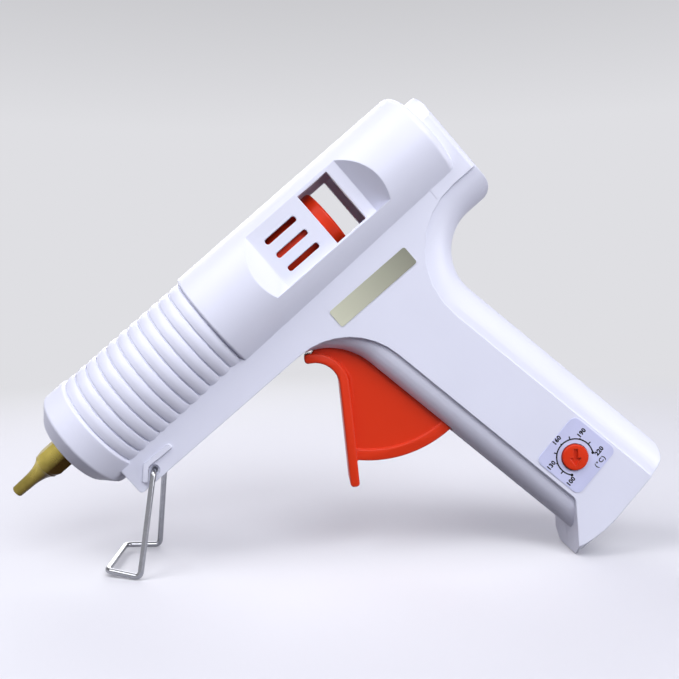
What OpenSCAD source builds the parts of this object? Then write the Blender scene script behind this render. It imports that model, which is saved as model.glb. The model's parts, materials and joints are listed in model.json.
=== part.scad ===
// Trigger-fed hot glue applicator for 11 mm sticks, standing nose down on its wire stand and handle toe.
// Gun frame: X runs back along the barrel axis, Z is up from that axis, Y is across.
// Handle frame: g runs back from the grip's front, h runs down the handle from the keel's level.

/* [Barrel] */
// Radius of the smooth barrel behind the ribs
barrel_r = 20; // [19.5:0.25:22]
// Radius over the tops of the cooling ribs
rib_r = 19.1; // [18.8:0.1:19.4]
// Radius of the plain ring at the nose
nose_r = 19.5; // [19:0.1:20]
// Station of the nose's flat front face
nose_x = 4.4; // [3.4:0.1:5]
// Radius of the nose's flat front face
nose_face_r = 14.5; // [14:0.1:15.5]
// Length of the nose's cone
nose_cone = 5; // [4:0.5:7]
// Station of the first groove
rib_start = 18.3; // [17.4:0.1:19.5]
// Number of rounded ribs
rib_count = 11; // [8:1:12]
// Spacing of the ribs along the barrel
rib_pitch = 4.64; // [4.2:0.02:4.8]
// Section radius of one rib's crown
rib_round = 6; // [5:0.5:8]
// Width of the narrow grooves between the ribs
groove_w = 0.55; // [0.4:0.05:0.8]
// Station of the housing's rear face
body_len = 170.8; // [169.5:0.1:178]
// Length of the smaller rim behind the barrel
rim_len = 5.5; // [4:0.5:8]
// Height of the rim's top above the barrel axis
rim_top = 13.6; // [12.8:0.2:15]
// Wall thickness of the housing
wall = 2.2; // [1.8:0.1:2.6]
// Gap between the two halves at the parting plane
parting_gap = 0.1; // [0.04:0.02:0.2]

/* [Keel and handle] */
// Height of the keel's lower edge below the barrel axis
keel_drop = 27; // [25.5:0.5:29]
// Station of the keel's front edge
keel_front = 13.7; // [12:0.1:15]
// Half width of the side panels at the front datum
panel_w_front = 9.66; // [9.2:0.02:10.4]
// Half width of the side panels at the rear gauge station
panel_w_rear = 14.8; // [14.4:0.1:15.4]
// Station of the grip's front line at the keel's level
grip_x = 97.2; // [96.4:0.1:98]
// Rearward lean of the handle
lean = 9.75; // [7:0.25:12]
// Depth of the handle from front to back
grip_depth = 42.2; // [41.4:0.2:46]
// Length of the handle below the keel's level
grip_len = 117; // [114:0.5:122]
// Depth of the rounded front of the grip ahead of the side panel
front_round = 8.8; // [8:0.1:9.4]
// Half width of the grip's rounded front
front_half_w = 11.9; // [11.5:0.1:12]
// Radius of the finger arch under the keel
arch_r = 21.5; // [20:0.25:22.5]
// Radius of the side panel's edge around the finger arch
panel_arch_r = 25.5; // [24:0.5:28]
// Depth of the rounded back of the handle behind the side panel
back_round = 11; // [9.5:0.25:12]
// Half width of the handle's rounded back
back_half_w = 13.4; // [12.8:0.1:13.5]
// Radius of the thumb web between the handle and the rear overhang
web_r = 17.5; // [16:0.5:19]
// Drop of the rear overhang below the barrel axis
overhang_drop = 28.3; // [27.5:0.1:29.5]
// Forward flare of the toe's flat front face
toe_flare = 46; // [40:1:50]
// Height above the base at which the toe's face leaves the grip's front line
toe_drop = 6.8; // [5.5:0.1:8]
// Radius of the toe's lower edge, which stands on the table
toe_r = 0.8; // [0.6:0.1:1.2]
// Width of the rounding of the toe's lower corners
toe_corner_w = 10; // [7:0.5:11]
// Height of the rounding of the toe's lower corners
toe_corner_h = 9; // [7:0.5:10]
// Radius of the heel's corner
heel_r = 6; // [4:0.5:8]

/* [Window and vents] */
// Distance of the side flats from the middle plane
flat_y = 13.95; // [13.6:0.05:14.6]
// Station of the side flats' front end
flat_start = 97; // [95:0.5:98.5]
// Length of the side flats
flat_len = 38.6; // [37:0.2:40]
// Drop of the side flats' lower edge below the barrel axis
flat_drop = 7.7; // [7.5:0.1:9]
// Station of the window's front edge
window_x = 118.8; // [118:0.2:119.6]
// Length of the window along the barrel
window_len = 12.6; // [11.5:0.1:13.4]
// Height of the window's lower edge from the barrel axis
window_low = -7; // [-7.3:0.1:-6]
// Height of the window's upper edge above the barrel axis
window_high = 13.1; // [12:0.1:13.4]
// Number of vent slots
slot_count = 3; // [2:1:3]
// Length of a vent slot between its end centres
slot_len = 12; // [10:0.5:13]
// Width of a vent slot
slot_w = 2.1; // [1.6:0.1:2.6]
// Spacing of the vent slots
slot_pitch = 5.75; // [5:0.05:6]

/* [Nozzle and chamber] */
// Height of the feed line above the barrel axis
feed_rise = 1.65; // [1:0.05:1.8]
// Reach of the nozzle's tip ahead of the front datum
nozzle_len = 20.8; // [19:0.1:24]
// Width across the flats of the nozzle's hexagon
hex_af = 9.7; // [9.4:0.1:11]
// Reach of the hexagon ahead of the front datum
hex_len = 7.3; // [6.5:0.1:8]
// Turn of the hexagon about the feed line
hex_turn = 42; // [30:1:59]
// Outside radius of the nozzle's tip
tip_r = 2.05; // [1.8:0.05:2.4]
// Radius of the nozzle's orifice
orifice_r = 1; // [0.7:0.05:1.2]
// Outside radius of the melt chamber
chamber_r = 9; // [8.6:0.1:9.3]
// Length of the melt chamber
chamber_len = 47; // [46:0.5:49]
// Radius of the stick's way through guide, sleeve and chamber
stick_bore_r = 5.9; // [5.7:0.05:6.1]
// Length of the silicone inlet sleeve behind the chamber
sleeve_len = 32; // [28:0.5:33]

/* [Trigger and feed] */
// Station of the trigger's pivot
pivot_x = 106.1; // [105.7:0.1:106.6]
// Trigger pivot below the barrel axis
pivot_drop = 38.6; // [38.2:0.1:39]
// Outside radius of the trigger's lower rim about the pivot
rim_r = 42.2; // [40:0.2:44]
// Thickness of the trigger's lower rim
rim_t = 4; // [3:0.2:5]
// Half width of the trigger's finger pad
pad_half_w = 8; // [7:0.1:9]
// Thickness of the trigger's finger pad
pad_t = 3.2; // [2.6:0.1:3.6]
// Half width of the trigger's web
web_half_w = 5.3; // [4.8:0.1:5.5]
// Swing of the trigger
trigger_swing = 22; // [18:0.5:24]
// Radius of the trigger's pin
trigger_pin_r = 2; // [1.6:0.1:2.3]
// Outside radius of the feed carriage
carriage_r = 11.4; // [11.1:0.05:11.45]
// Length of the feed carriage
carriage_len = 24.4; // [23.6:0.2:25]
// Station of the feed carriage's rear end, trigger released
carriage_rear = 123.1; // [122.6:0.1:124]
// Drop of the drive pin below the barrel axis
drive_drop = 14; // [13.6:0.1:14.5]
// Radius of the drive pin
drive_pin_r = 1.5; // [1.2:0.05:1.7]

/* [Stand] */
// Station of the stand's pivot
stand_x = 22.4; // [21.8:0.2:23]
// Stand pivot below the barrel axis
stand_drop = 23.7; // [23.4:0.1:24.2]
// Radius of the stand's wire
wire_r = 1; // [0.8:0.05:1.1]
// Length of the stand's leg from the pivot to the foot
leg_len = 34; // [32:0.5:37]
// Angle of the leg below the barrel axis, towards the nose
leg_angle = 43; // [41:0.5:45]
// Length of the stand's foot
foot_len = 11.7; // [10:0.1:13]
// Half width of the stand where the leg meets the foot
foot_half_w = 18.6; // [17:0.1:18.9]
// Half width of the stand at the foot's cross bar
bar_half_w = 14.6; // [13:0.1:16]

/* [Dial and plates] */
// Dial centre behind the grip's front line
dial_g = 19.6; // [18.5:0.1:21]
// Dial centre down the handle
dial_h = 92; // [90:0.5:94]
// Radius of the dial
dial_r = 4.4; // [4.2:0.1:5.2]
// Height of the dial above the side panel
dial_rise = 1.2; // [0.8:0.1:1.6]
// Width of the dial plate across the handle
dial_plate_w = 20; // [17:0.2:21]
// Height of the dial plate along the handle
dial_plate_h = 19; // [16:0.2:20]
// Thickness of the foil plates
foil_t = 0.25; // [0.2:0.05:0.5]
// Length of the name plate
name_len = 33.1; // [28:0.1:36]
// Height of the name plate
name_h = 6.7; // [5:0.1:8]

/* [Screws and gland] */
// Radius of a screw's shank
screw_r = 1.25; // [1.1:0.05:1.4]
// Radius of a screw's head
screw_head_r = 2.7; // [2.5:0.1:2.8]
// Radius of the cord's way through the gland
cord_bore_r = 3.2; // [2.8:0.1:3.6]

/* [Hidden] */
$fn = 48;

// Clearances: a pressed fit, a seated fit, a running fit and a free gap between moving pieces
press_gap = 0.02;
seat_gap = 0.05;
run_gap = 0.05;
free_gap = 0.3;
// Steps in the arc of one rounded corner
arc_steps = 8;
// Reach of cutting bodies past what they cut
over = 5;
// Station where the rear half width of the side panels is measured
panel_gauge = 170.8;

// Colours
white_abs = [0.90, 0.90, 0.97];
orange_abs = [0.86, 0.25, 0.12];
brass = [0.72, 0.60, 0.25];
steel = [0.75, 0.76, 0.78];
aluminium = [0.82, 0.83, 0.85];
mica = [0.62, 0.56, 0.44];
phenolic = [0.25, 0.18, 0.13];
silicone = [0.80, 0.78, 0.72];
board_green = [0.10, 0.36, 0.20];
black_rubber = [0.08, 0.08, 0.09];
scale_lavender = [0.78, 0.79, 0.92];
foil_silver = [0.81, 0.83, 0.76];

// Outlines with rounded corners: each corner is [x, y, radius]
function unit(v) = v / norm(v);
function flat2(p) = [p[0], p[1]];
function corner_arc(a, b, c) =
  let (p = flat2(a), q = flat2(b), s = flat2(c), r = b[2])
  r <= 0 ? [q] :
  let (u = unit(p - q), v = unit(s - q), half = acos(u * v) / 2)
  let (m = q + unit(u + v) * r / sin(half), from = q + u * r / tan(half) - m, to = q + v * r / tan(half) - m)
  let (a0 = atan2(from.y, from.x), a1 = atan2(to.y, to.x), turn = ((a1 - a0 + 540) % 360) - 180)
  [for (i = [0 : arc_steps]) m + r * [cos(a0 + turn * i / arc_steps), sin(a0 + turn * i / arc_steps)]];
function corner_centre(a, b, c) =
  let (p = flat2(a), q = flat2(b), s = flat2(c), u = unit(p - q), v = unit(s - q))
  q + unit(u + v) * b[2] / sin(acos(u * v) / 2);
function rounded(pts) =
  [for (i = [0 : len(pts) - 1])
    each corner_arc(pts[(i + len(pts) - 1) % len(pts)], pts[i], pts[(i + 1) % len(pts)])];
// A straight strip with rounded corners
function strip(p, q, w) =
  let (d = unit(q - p), n = [-d.y, d.x] * w / 2, e = d * w / 2, r = w * 0.4)
  rounded([for (c = [p - e - n, q + e - n, q + e + n, p - e + n]) [c.x, c.y, r]]);

// Placing helpers
module upright(half) { rotate([90, 0, 0]) linear_extrude(2 * half, center = true) children(); }
module along_x() { rotate([0, 90, 0]) rotate_extrude() children(); }
module rod_x(x0, x1, r) { translate([x0, 0, 0]) rotate([0, 90, 0]) cylinder(r = r, h = x1 - x0); }
module rod_y(p, y0, y1, r) { translate([p.x, y0, p.y]) rotate([-90, 0, 0]) cylinder(r = r, h = y1 - y0); }
module handle_frame() { translate([grip_x, 0, -keel_drop]) rotate([0, -lean, 0]) children(); }
function handle_pt(g, h) =
  [grip_x + g * cos(lean) + h * sin(lean), -keel_drop + g * sin(lean) - h * cos(lean)];
function panel_w(x) = panel_w_front + (panel_w_rear - panel_w_front) * x / panel_gauge;

// Swept tubes: rings of a fixed number of sides carried along a path
function tangents(path) =
  [for (i = [0 : len(path) - 1]) unit(path[min(i + 1, len(path) - 1)] - path[max(i - 1, 0)])];
function across(n, t) = unit(n - (n * t) * t);
function tube_points(path, r, sides, first) =
  let (ts = tangents(path))
  [for (i = 0, n = across(first, ts[0]); i < len(path); i = i + 1, n = i < len(path) ? across(n, ts[i]) : n)
    each [for (k = [0 : sides - 1])
      path[i] + r * (n * cos(360 * k / sides) + cross(ts[i], n) * sin(360 * k / sides))]];
function tube_faces(rings, sides) = concat(
  [for (k = [1 : sides - 2]) [0, k, k + 1]],
  [for (k = [1 : sides - 2]) let (b = (rings - 1) * sides) [b, b + k + 1, b + k]],
  [for (i = [0 : rings - 2], k = [0 : sides - 1])
    [i * sides + k, (i + 1) * sides + k, (i + 1) * sides + (k + 1) % sides]],
  [for (i = [0 : rings - 2], k = [0 : sides - 1])
    [i * sides + k, (i + 1) * sides + (k + 1) % sides, i * sides + (k + 1) % sides]]);
module tube(path, r, sides, first) {
  polyhedron(tube_points(path, r, sides, first), tube_faces(len(path), sides));
}
// Path corners eased by a parabola of the given tangent length
function eased(path, ease, steps) =
  [for (i = [0 : len(path) - 1])
    each (i == 0 || i == len(path) - 1) ? [path[i]] :
      let (a = path[i] + unit(path[i - 1] - path[i]) * ease, b = path[i] + unit(path[i + 1] - path[i]) * ease)
      [for (k = [0 : steps]) let (u = k / steps)
        (1 - u) * (1 - u) * a + 2 * u * (1 - u) * path[i] + u * u * b]];
// A coil about Z from z = 0 to its height
function coil(r, height, turns, per_turn) =
  [for (i = [0 : turns * per_turn]) let (a = 360 * i / per_turn)
    [r * cos(a), r * sin(a), height * i / (turns * per_turn)]];
function coil_gap(path, per_turn, thick) =
  min([for (i = [0 : len(path) - 1 - per_turn]) norm(path[i + per_turn] - path[i])]) - thick;

// Barrel stations
rib_end = rib_start + rib_count * rib_pitch;
rib_valley_r = rib_r - rib_round + sqrt(rib_round * rib_round - rib_pitch * rib_pitch / 4);
rib_wall = 2;
groove_r = rib_valley_r - 0.4;
bay_r = rib_valley_r - rib_wall;
shoulder = 0.6;
barrel_end = body_len - rim_len;
end_round = 3;
rear_wall = 8;
rear_turn_r = 3.5;
rear_turn_x = body_len - rear_turn_r - 0.2;
rear_turn_w = panel_w(body_len) + 0.2;
hall_r = barrel_r - wall - 0.2;
hall_half_w = flat_y - wall;
hall_start = rib_end + 18;
hall_end = body_len - rear_wall;

// Nozzle and chamber stations
face_wall = 2.2;
hex_back = nose_x + face_wall + 0.4;
chamber_end = hex_back + chamber_len;
shank_r = 4;
shank_len = 8.6;
valve_r = 2.6;
ball_r = 2.2;
valve_start = -5;
channel_r = 1.7;
channel_len = 2.5;
funnel_len = 8;
spigot_r = 7.2;
spigot_len = 6.2;
nose_seat = nose_x + face_wall;
nose_bush_len = 6;
nose_bush_r = 14.4;
rear_bush_len = 5;
rear_bush_x = chamber_end - spigot_len - rear_bush_len - 0.8;
shield_t = 0.5;
shield_gap = 0.25;

// Heater under the chamber
pad_half = 5.6;
pad_drop = chamber_r + 1.5;
heater_t = 2.4;
heater_x = nose_seat + nose_bush_len + 2.5;
heater_len = 22;
clip_t = 0.7;
clip_len = 10;

// Sleeve
sleeve_t = 2.7;
sleeve_start = chamber_end - spigot_len;
clip_ring_t = 0.7;

// Trigger and feed stations
pivot = [pivot_x, -pivot_drop];
lever = pivot_drop - drive_drop;
arm_lean = trigger_swing / 2;
drive_x = pivot_x + lever * tan(arm_lean);
stroke = 2 * lever * tan(arm_lean);
hub_r = 5;
hub_half_w = 5.6;
arm_half_w = 3;
arm_w = 7;
tail_len = 12.6;
tail_half_w = 1.6;
tail_w = 5;
tail_bar_r = 0.9;
tail_clear_r = 3.4;
rim_half_w = 6;
slot_half_w = rim_half_w + 0.5;
pad_hook = [-21.5, 9.3];
pad_corner = [-10.3, 3.1];
pad_tip = [-37.1, -35.2];
pad_bend_r = 10;
spring_post = [pivot_x + 25.1, -pivot_drop - 27.4];
post_r = 1.5;
post_out = 2;
coil_r = 2.2;
coil_wire_r = 0.4;
coil_turns = 12;
coil_lead = 2;
hook_gap = 0.15;
lug_half_w = 6;
lug_half_len = 4.6;
jaw_x = carriage_rear - 6.6;
jaw_z = 9.4;
jaw_half_w = 2.7;
jaw_len = 8;
jaw_pin_r = 1.2;
jaw_pin_half = 5.5;

// Stand
stand_pivot = [stand_x, -stand_drop];
stand_pin_r = wire_r + 0.03;
stand_sink = 0.9;
stand_sink_r = wire_r + 0.9;
stand_side = panel_w(stand_x) + free_gap + wire_r;
foot_corner = stand_pivot - leg_len * [cos(leg_angle), sin(leg_angle)];
foot_front = foot_corner + foot_len * [-sin(leg_angle), cos(leg_angle)];

// Handle outline points
// The thumb web's round is limited by the length of the overhang behind the handle
web_room = rear_turn_x - grip_x - (grip_depth + (overhang_drop - keel_drop) * sin(lean)) / cos(lean);
web_fit = min(web_r, web_room * cos(lean) / (1 + sin(lean)));
web_z = -overhang_drop - web_fit;
web_x = grip_x + (grip_depth + web_fit + (overhang_drop + web_fit - keel_drop) * sin(lean)) / cos(lean);
panel_strip = overhang_drop - back_round + 0.3;
toe_start = grip_len - toe_drop;
function toe_line(h) = (toe_start - h) * tan(toe_flare);
toe_tip_g = toe_line(grip_len);
toe_core_g = toe_tip_g / 2;
function handle_corner(g, h, r) = concat(handle_pt(g, h), [r]);
clip_spread = 0.5;
clip_pts = [
  [-over, 2 * barrel_r, 0],
  [-over, -2 * keel_drop, 0],
  handle_corner(-30, toe_start, 0),
  handle_corner(toe_line(toe_start + 1) - clip_spread, toe_start + 1, 0),
  handle_corner(toe_tip_g, grip_len, toe_r),
  handle_corner(grip_depth, grip_len, heel_r),
  handle_corner(grip_depth + 2 * clip_spread, grip_len / 2, 0),
  [web_x - web_fit / 2, web_z + web_fit / 6, 0],
  [web_x, -overhang_drop - 2 * clip_spread, 0],
  [body_len, -overhang_drop, 5],
  [body_len, 2 * barrel_r, 0]];
toe_centre = corner_centre(clip_pts[3], clip_pts[4], clip_pts[5]);
heel_centre = corner_centre(clip_pts[4], clip_pts[5], clip_pts[6]);

// Standing pose: the table touches the foot's wire and the toe's round
table_run = toe_centre - foot_corner;
tilt = -atan2(table_run.y, table_run.x) + asin((toe_r - wire_r) / norm(table_run));
function stood_x(p) = p.x * cos(tilt) - p.y * sin(tilt);
function stood_z(p) = p.x * sin(tilt) + p.y * cos(tilt);
reach_front = stood_x([-nozzle_len, feed_rise + tip_r]);
reach_back = stood_x(heel_centre) + heel_r;
stand_shift = [-(reach_front + reach_back) / 2, 0, wire_r - stood_z(foot_corner)];
module stood() { translate(stand_shift) rotate([0, -tilt, 0]) children(); }
module feed_line() { stood() translate([0, 0, feed_rise]) children(); }

// Screw sizes
screw_seat = 5;
screw_head_h = 1.9;
screw_reach = 7;
screw_sink_r = screw_head_r + 0.3;
screw_post_r = 3.1;
sink_wall_r = screw_sink_r + 1.4;
screw_inset = 10.5;
screw_rise = 8;
drive_slot_len = 3.4;
drive_slot_w = 0.7;
drive_slot_depth = 1;

// Stick guide, and the gland ahead of the base screw
guide_r = stick_bore_r + 2.1;
guide_flange_r = guide_r + 2.5;
guide_flange_t = 2;
gland_neck_r = cord_bore_r + 1.8;
gland_flange_r = gland_neck_r + 2;
gland_flange_t = 2.5;
gland_g = grip_depth - screw_inset - sink_wall_r - gland_flange_r - free_gap;

// Board in the handle, around the dial
board_y = -2.4;
board_t = 1.6;
pot_r = 7;
pot_shaft_r = 3;
board_half_w = 8.6;
board_up = 17;
board_down = pot_r + 1;
board_post_r = 2.2;
board_post_inset = board_post_r + 0.4;
relay_w = 6.6;
relay_len = 9;
relay_h = 4;
large_cap_r = 3.2;
large_cap_h = 7;
small_cap_r = 2.4;
small_cap_h = 6;
dial_pt = handle_pt(dial_g, dial_h);
dial_face_y = panel_w(dial_pt.x);
post_places = [
  [dial_g - board_half_w + board_post_inset, dial_h - pot_r - board_post_r - 1.3],
  [dial_g + board_half_w - board_post_inset, dial_h - board_up + board_post_inset + 0.9]];

// Screw places in the gun frame: two in the keel, three down the handle, one behind the window
screw_pts = [
  [36, -keel_drop + 5.2],
  [74, -keel_drop + 5.2],
  [web_x - web_fit - wall - 7.5, -keel_drop - 10],
  handle_pt(grip_depth - screw_inset, dial_h - board_up - sink_wall_r - 0.6),
  handle_pt(grip_depth - screw_inset, grip_len - screw_rise),
  [(window_x + window_len + hall_end - guide_flange_t) / 2, feed_rise + stick_bore_r + sink_wall_r + 0.3]];

// Side panel outline, closed inside the barrel
panel_top = -6;
function panel_pts(front, rear, base, toe_g) = [
  [front, panel_top, 0],
  [front, -keel_drop, 1.5],
  concat(panel_front_at_keel, [panel_arch_r]),
  handle_corner(front_round, toe_start - front_round / tan(toe_flare), 3),
  handle_corner(toe_g, base, 0),
  handle_corner(grip_depth - back_round, base, 0),
  concat(panel_web_corner, [web_fit + back_round]),
  [rear, -panel_strip, 0],
  [rear, 5, 0],
  [hall_end - 14, 5, 0],
  [hall_end - 14, panel_top, 0]];
panel_front_at_keel = [grip_x + front_round / cos(lean), -keel_drop];
panel_web_corner = [
  grip_x + (grip_depth - back_round + (panel_strip - keel_drop) * sin(lean)) / cos(lean), -panel_strip];

// Rounded edge section: depth runs into the body, the second coordinate across
function edge_section(half_w, round, inset, depth) = rounded([
  [depth, inset - half_w, 0],
  [inset, inset - half_w, round - inset],
  [inset, half_w - inset, round - inset],
  [depth, half_w - inset, 0]]);
module edge_turn(centre, r, from, sweep) {
  translate([centre.x, 0, centre.y]) rotate([90, 0, 0]) rotate([0, 0, from])
    rotate_extrude(angle = sweep) translate([r, 0]) children();
}

// Flat side panels of keel and handle, tapering towards the nose
module panels(inset, front, rear, base, toe_g) {
  x0 = -over;
  x1 = body_len + 2 * over;
  intersection() {
    upright(barrel_r) offset(delta = -inset) polygon(rounded(panel_pts(front, rear, base, toe_g)));
    translate([0, 0, -2 * grip_len]) linear_extrude(2 * grip_len + barrel_r) polygon([
      [x0, inset - panel_w(x0)], [x1, inset - panel_w(x1)],
      [x1, panel_w(x1) - inset], [x0, panel_w(x0) - inset]]);
  }
}

// Rounded front of the grip: finger arch and straight grip, which runs into the toe's face
joint_lap = 0.2;
toe_lap = 2;
toe_run_out = 25;
corner_out = 0.15;
arch_z = -keel_drop - arch_r;
arch_x = grip_x - (arch_r + (keel_drop + arch_z) * sin(lean)) / cos(lean);
arch_h = (arch_x - grip_x) * sin(lean) - (arch_z + keel_drop) * cos(lean);
module grip_front(inset) {
  depth = front_round + 8;
  section = edge_section(front_half_w, front_round, inset, depth);
  edge_turn([arch_x, arch_z], arch_r, lean, 90 - lean) polygon(section);
  handle_frame() translate([0, 0, -toe_start - toe_lap])
    linear_extrude(toe_start + toe_lap - arch_h + joint_lap) polygon(section);
}

// Rounded lower corners of the toe's face, which run out along the base
module toe_bites() {
  w = toe_corner_w * cos(toe_run_out);
  h = toe_corner_h;
  half = panel_w(handle_pt(toe_tip_g, grip_len).x) + corner_out;
  bite = concat([[0, -h - over], [w + over, -h - over], [w + over, 0]],
    [for (i = [0 : arc_steps]) let (a = -90 * i / arc_steps) [w * cos(a), h * sin(a)]]);
  for (s = [0, 1]) mirror([0, s, 0])
    handle_frame() translate([toe_tip_g, half - toe_corner_w, h - grip_len - corner_out])
      rotate([0, 0, toe_run_out]) rotate([90, 0, 90]) linear_extrude(8 * over, center = true) polygon(bite);
}

// Rounded back: rear overhang, thumb web and handle back
module grip_back(inset, rear, base) {
  depth = back_round + 7;
  section = edge_section(back_half_w, back_round, inset, depth);
  web_h = (web_x - grip_x) * sin(lean) - (web_z + keel_drop) * cos(lean);
  edge_turn([web_x, web_z], web_fit, 90, 90 + lean) polygon(section);
  if (rear > web_x)
    translate([web_x - joint_lap, 0, -overhang_drop]) rotate([90, 0, 90])
      linear_extrude(rear - web_x + joint_lap) rotate([0, 0, 90]) polygon(section);
  handle_frame() translate([grip_depth, 0, -base]) mirror([1, 0, 0])
    linear_extrude(base - web_h + joint_lap) polygon(section);
}

// Ribbed and smooth barrel with its cone nose
module barrel() {
  along_x() {
    polygon(rounded([
      [0, nose_x, 0], [nose_face_r, nose_x, 0.8], [nose_r, nose_x + nose_cone, 1.5], [nose_r, rib_start - shoulder, 0.7],
      [groove_r, rib_start + groove_w / 4, 0], [groove_r, rib_end - groove_w / 4, 0],
      [barrel_r, rib_end + shoulder, 0.8], [barrel_r, barrel_end, end_round],
      [rim_top - 1, barrel_end + 0.6, 0], [0, barrel_end + 0.6, 0]]));
    for (i = [0 : rib_count - 1])
      translate([rib_r - rib_round, rib_start + (i + 0.5) * rib_pitch]) intersection() {
        circle(rib_round);
        translate([0, (groove_w - rib_pitch) / 2]) square([2 * rib_round, rib_pitch - groove_w]);
      }
  }
}

// Smaller rim behind the barrel
module rear_rim() {
  half = panel_w(barrel_end) - 0.3;
  translate([barrel_end - 12, 0, 0]) rotate([90, 0, 90]) linear_extrude(rim_len + 12 + over)
    polygon(rounded([[-half, -panel_strip, 0], [half, -panel_strip, 0],
      [half, rim_top, 11], [-half, rim_top, 11]]));
}

module housing_outside() {
  intersection() {
    union() {
      barrel();
      panels(0, keel_front, body_len + over, grip_len + over, toe_line(grip_len + over));
      grip_front(0);
      grip_back(0, body_len + over, grip_len + over);
      rear_rim();
    }
    upright(2 * barrel_r) polygon(rounded(clip_pts));
    translate([0, 0, -2 * grip_len]) linear_extrude(3 * grip_len) polygon(rounded([
      [-over, -2 * barrel_r, 0], [rear_turn_x, -2 * barrel_r, 0],
      [rear_turn_x, -rear_turn_w, 0], [body_len + 0.1, -rear_turn_w, rear_turn_r],
      [body_len + 0.1, rear_turn_w, rear_turn_r], [rear_turn_x, rear_turn_w, 0],
      [rear_turn_x, 2 * barrel_r, 0], [-over, 2 * barrel_r, 0]]));
  }
}

// Hollow inside: chamber bay, stick hall, keel, handle and the bushing's seat
module housing_inside() {
  rod_x(nose_seat + nose_bush_len, hall_start, bay_r);
  rod_x(nose_seat, nose_seat + nose_bush_len + over, nose_bush_r + seat_gap);
  translate([0, 0, feed_rise]) rod_x(-over, nose_seat + over, hex_af / 2 / cos(30) + 0.8);
  intersection() {
    rod_x(hall_start - 1, hall_end, hall_r);
    translate([0, -hall_half_w, -barrel_r]) cube([body_len, 2 * hall_half_w, 2 * barrel_r]);
  }
  panels(wall, keel_front, hall_end + wall, grip_len, toe_core_g);
  grip_front(wall);
  grip_back(wall, hall_end, grip_len - wall);
  translate([0, 0, feed_rise]) rod_x(hall_end - over, body_len + over, guide_r + seat_gap);
  handle_frame() translate([gland_g, 0, -grip_len - over]) cylinder(r = gland_neck_r + seat_gap, h = 3 * over);
}

// Pocket with sloped ends on each side of the barrel
module side_flats() {
  ramp = barrel_r + 1 - flat_y;
  for (s = [0, 1]) mirror([0, s, 0])
    translate([0, 0, -flat_drop]) linear_extrude(2 * barrel_r) polygon([
      [flat_start, flat_y], [flat_start - ramp * 1.1, flat_y + ramp],
      [flat_start + flat_len + ramp * 1.16, flat_y + ramp], [flat_start + flat_len, flat_y]]);
}

module window_and_slots() {
  upright(2 * barrel_r) {
    translate([window_x, window_low]) square([window_len, window_high - window_low]);
    for (i = [0 : slot_count - 1])
      translate([flat_start + 3.8, 2.75 + (i - (slot_count - 1) / 2) * slot_pitch])
        polygon(strip([slot_w / 2, 0], [slot_len - slot_w / 2 + 1, 0], slot_w));
  }
}

// Slot in the arch and the grip for the trigger
module trigger_slot() {
  reach = rim_r + 1;
  top = pivot_drop - keel_drop + wall + 1;
  front = pad_hook.x - 0.4;
  translate([pivot.x, 0, pivot.y]) upright(slot_half_w)
    polygon(concat([[4, -4], [-2, top], [front, top], [front, 4]],
      [for (a = [172 : 8 : 276]) reach * [cos(a), sin(a)]]));
}

module stand_stop() {
  y = panel_w(stand_x);
  up = stand_pivot + [8.9, 2.7];
  bend = stand_pivot + [-0.8, 3];
  low = stand_pivot + [-4.2, -0.5];
  for (s = [0, 1]) mirror([0, s, 0])
    translate([0, -y, 0]) {
      upright(1.1) polygon(strip(up, bend, 1.8));
      upright(1.1) polygon(strip(bend, low, 1.8));
    }
}

// Bosses left standing in the hollow: pin seats, screw posts and board posts
module housing_bosses(side) {
  for (s = [0, 1]) mirror([0, s, 0]) {
    rod_y(pivot, -barrel_r, -(hub_half_w + free_gap), trigger_pin_r + 2);
    rod_y(stand_pivot, -barrel_r, -(panel_w(stand_x) - 4), 3);
  }
  for (p = screw_pts)
    if (side < 0) rod_y(p, -2 * barrel_r, over, screw_post_r);
    else rod_y(p, -over, 2 * barrel_r, sink_wall_r);
  if (side < 0)
    for (q = post_places) rod_y(handle_pt(q.x, q.y), -barrel_r, board_y - board_t, board_post_r);
}

module pin_holes() {
  rod_y(pivot, -(panel_w(pivot.x) - 3), panel_w(pivot.x) - 3, trigger_pin_r + seat_gap);
  rod_y(stand_pivot, -2 * barrel_r, 2 * barrel_r, stand_pin_r + run_gap);
  for (s = [0, 1]) mirror([0, s, 0])
    rod_y(stand_pivot, -2 * barrel_r, -(panel_w(stand_x) - stand_sink), stand_sink_r);
}

module half_space(side) {
  y0 = side < 0 ? -2 * barrel_r : parting_gap / 2;
  translate([-over * 2, y0, -2 * grip_len]) cube([2 * body_len, 2 * barrel_r - parting_gap / 2, 3 * grip_len]);
}

module housing_half(side) {
  intersection() {
    difference() {
      union() {
        housing_outside();
        stand_stop();
      }
      difference() {
        housing_inside();
        housing_bosses(side);
      }
      side_flats();
      window_and_slots();
      trigger_slot();
      pin_holes();
      toe_bites();
    }
    half_space(side);
  }
}

module shell_left() {
  color(white_abs) stood() difference() {
    housing_half(-1);
    for (p = screw_pts) rod_y(p, -screw_reach - 1, over, screw_r + seat_gap);
    rod_y(dial_pt, -barrel_r, board_y - over, dial_r + free_gap);
  }
}

module shell_right() {
  color(white_abs) stood() difference() {
    union() {
      housing_half(1);
      rod_y(spring_post, -post_out, panel_w(spring_post.x) - wall / 2, post_r);
    }
    for (p = screw_pts) {
      rod_y(p, -over, barrel_r, screw_r + 0.3);
      rod_y(p, screw_seat, 2 * barrel_r, screw_sink_r);
    }
  }
}

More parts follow.
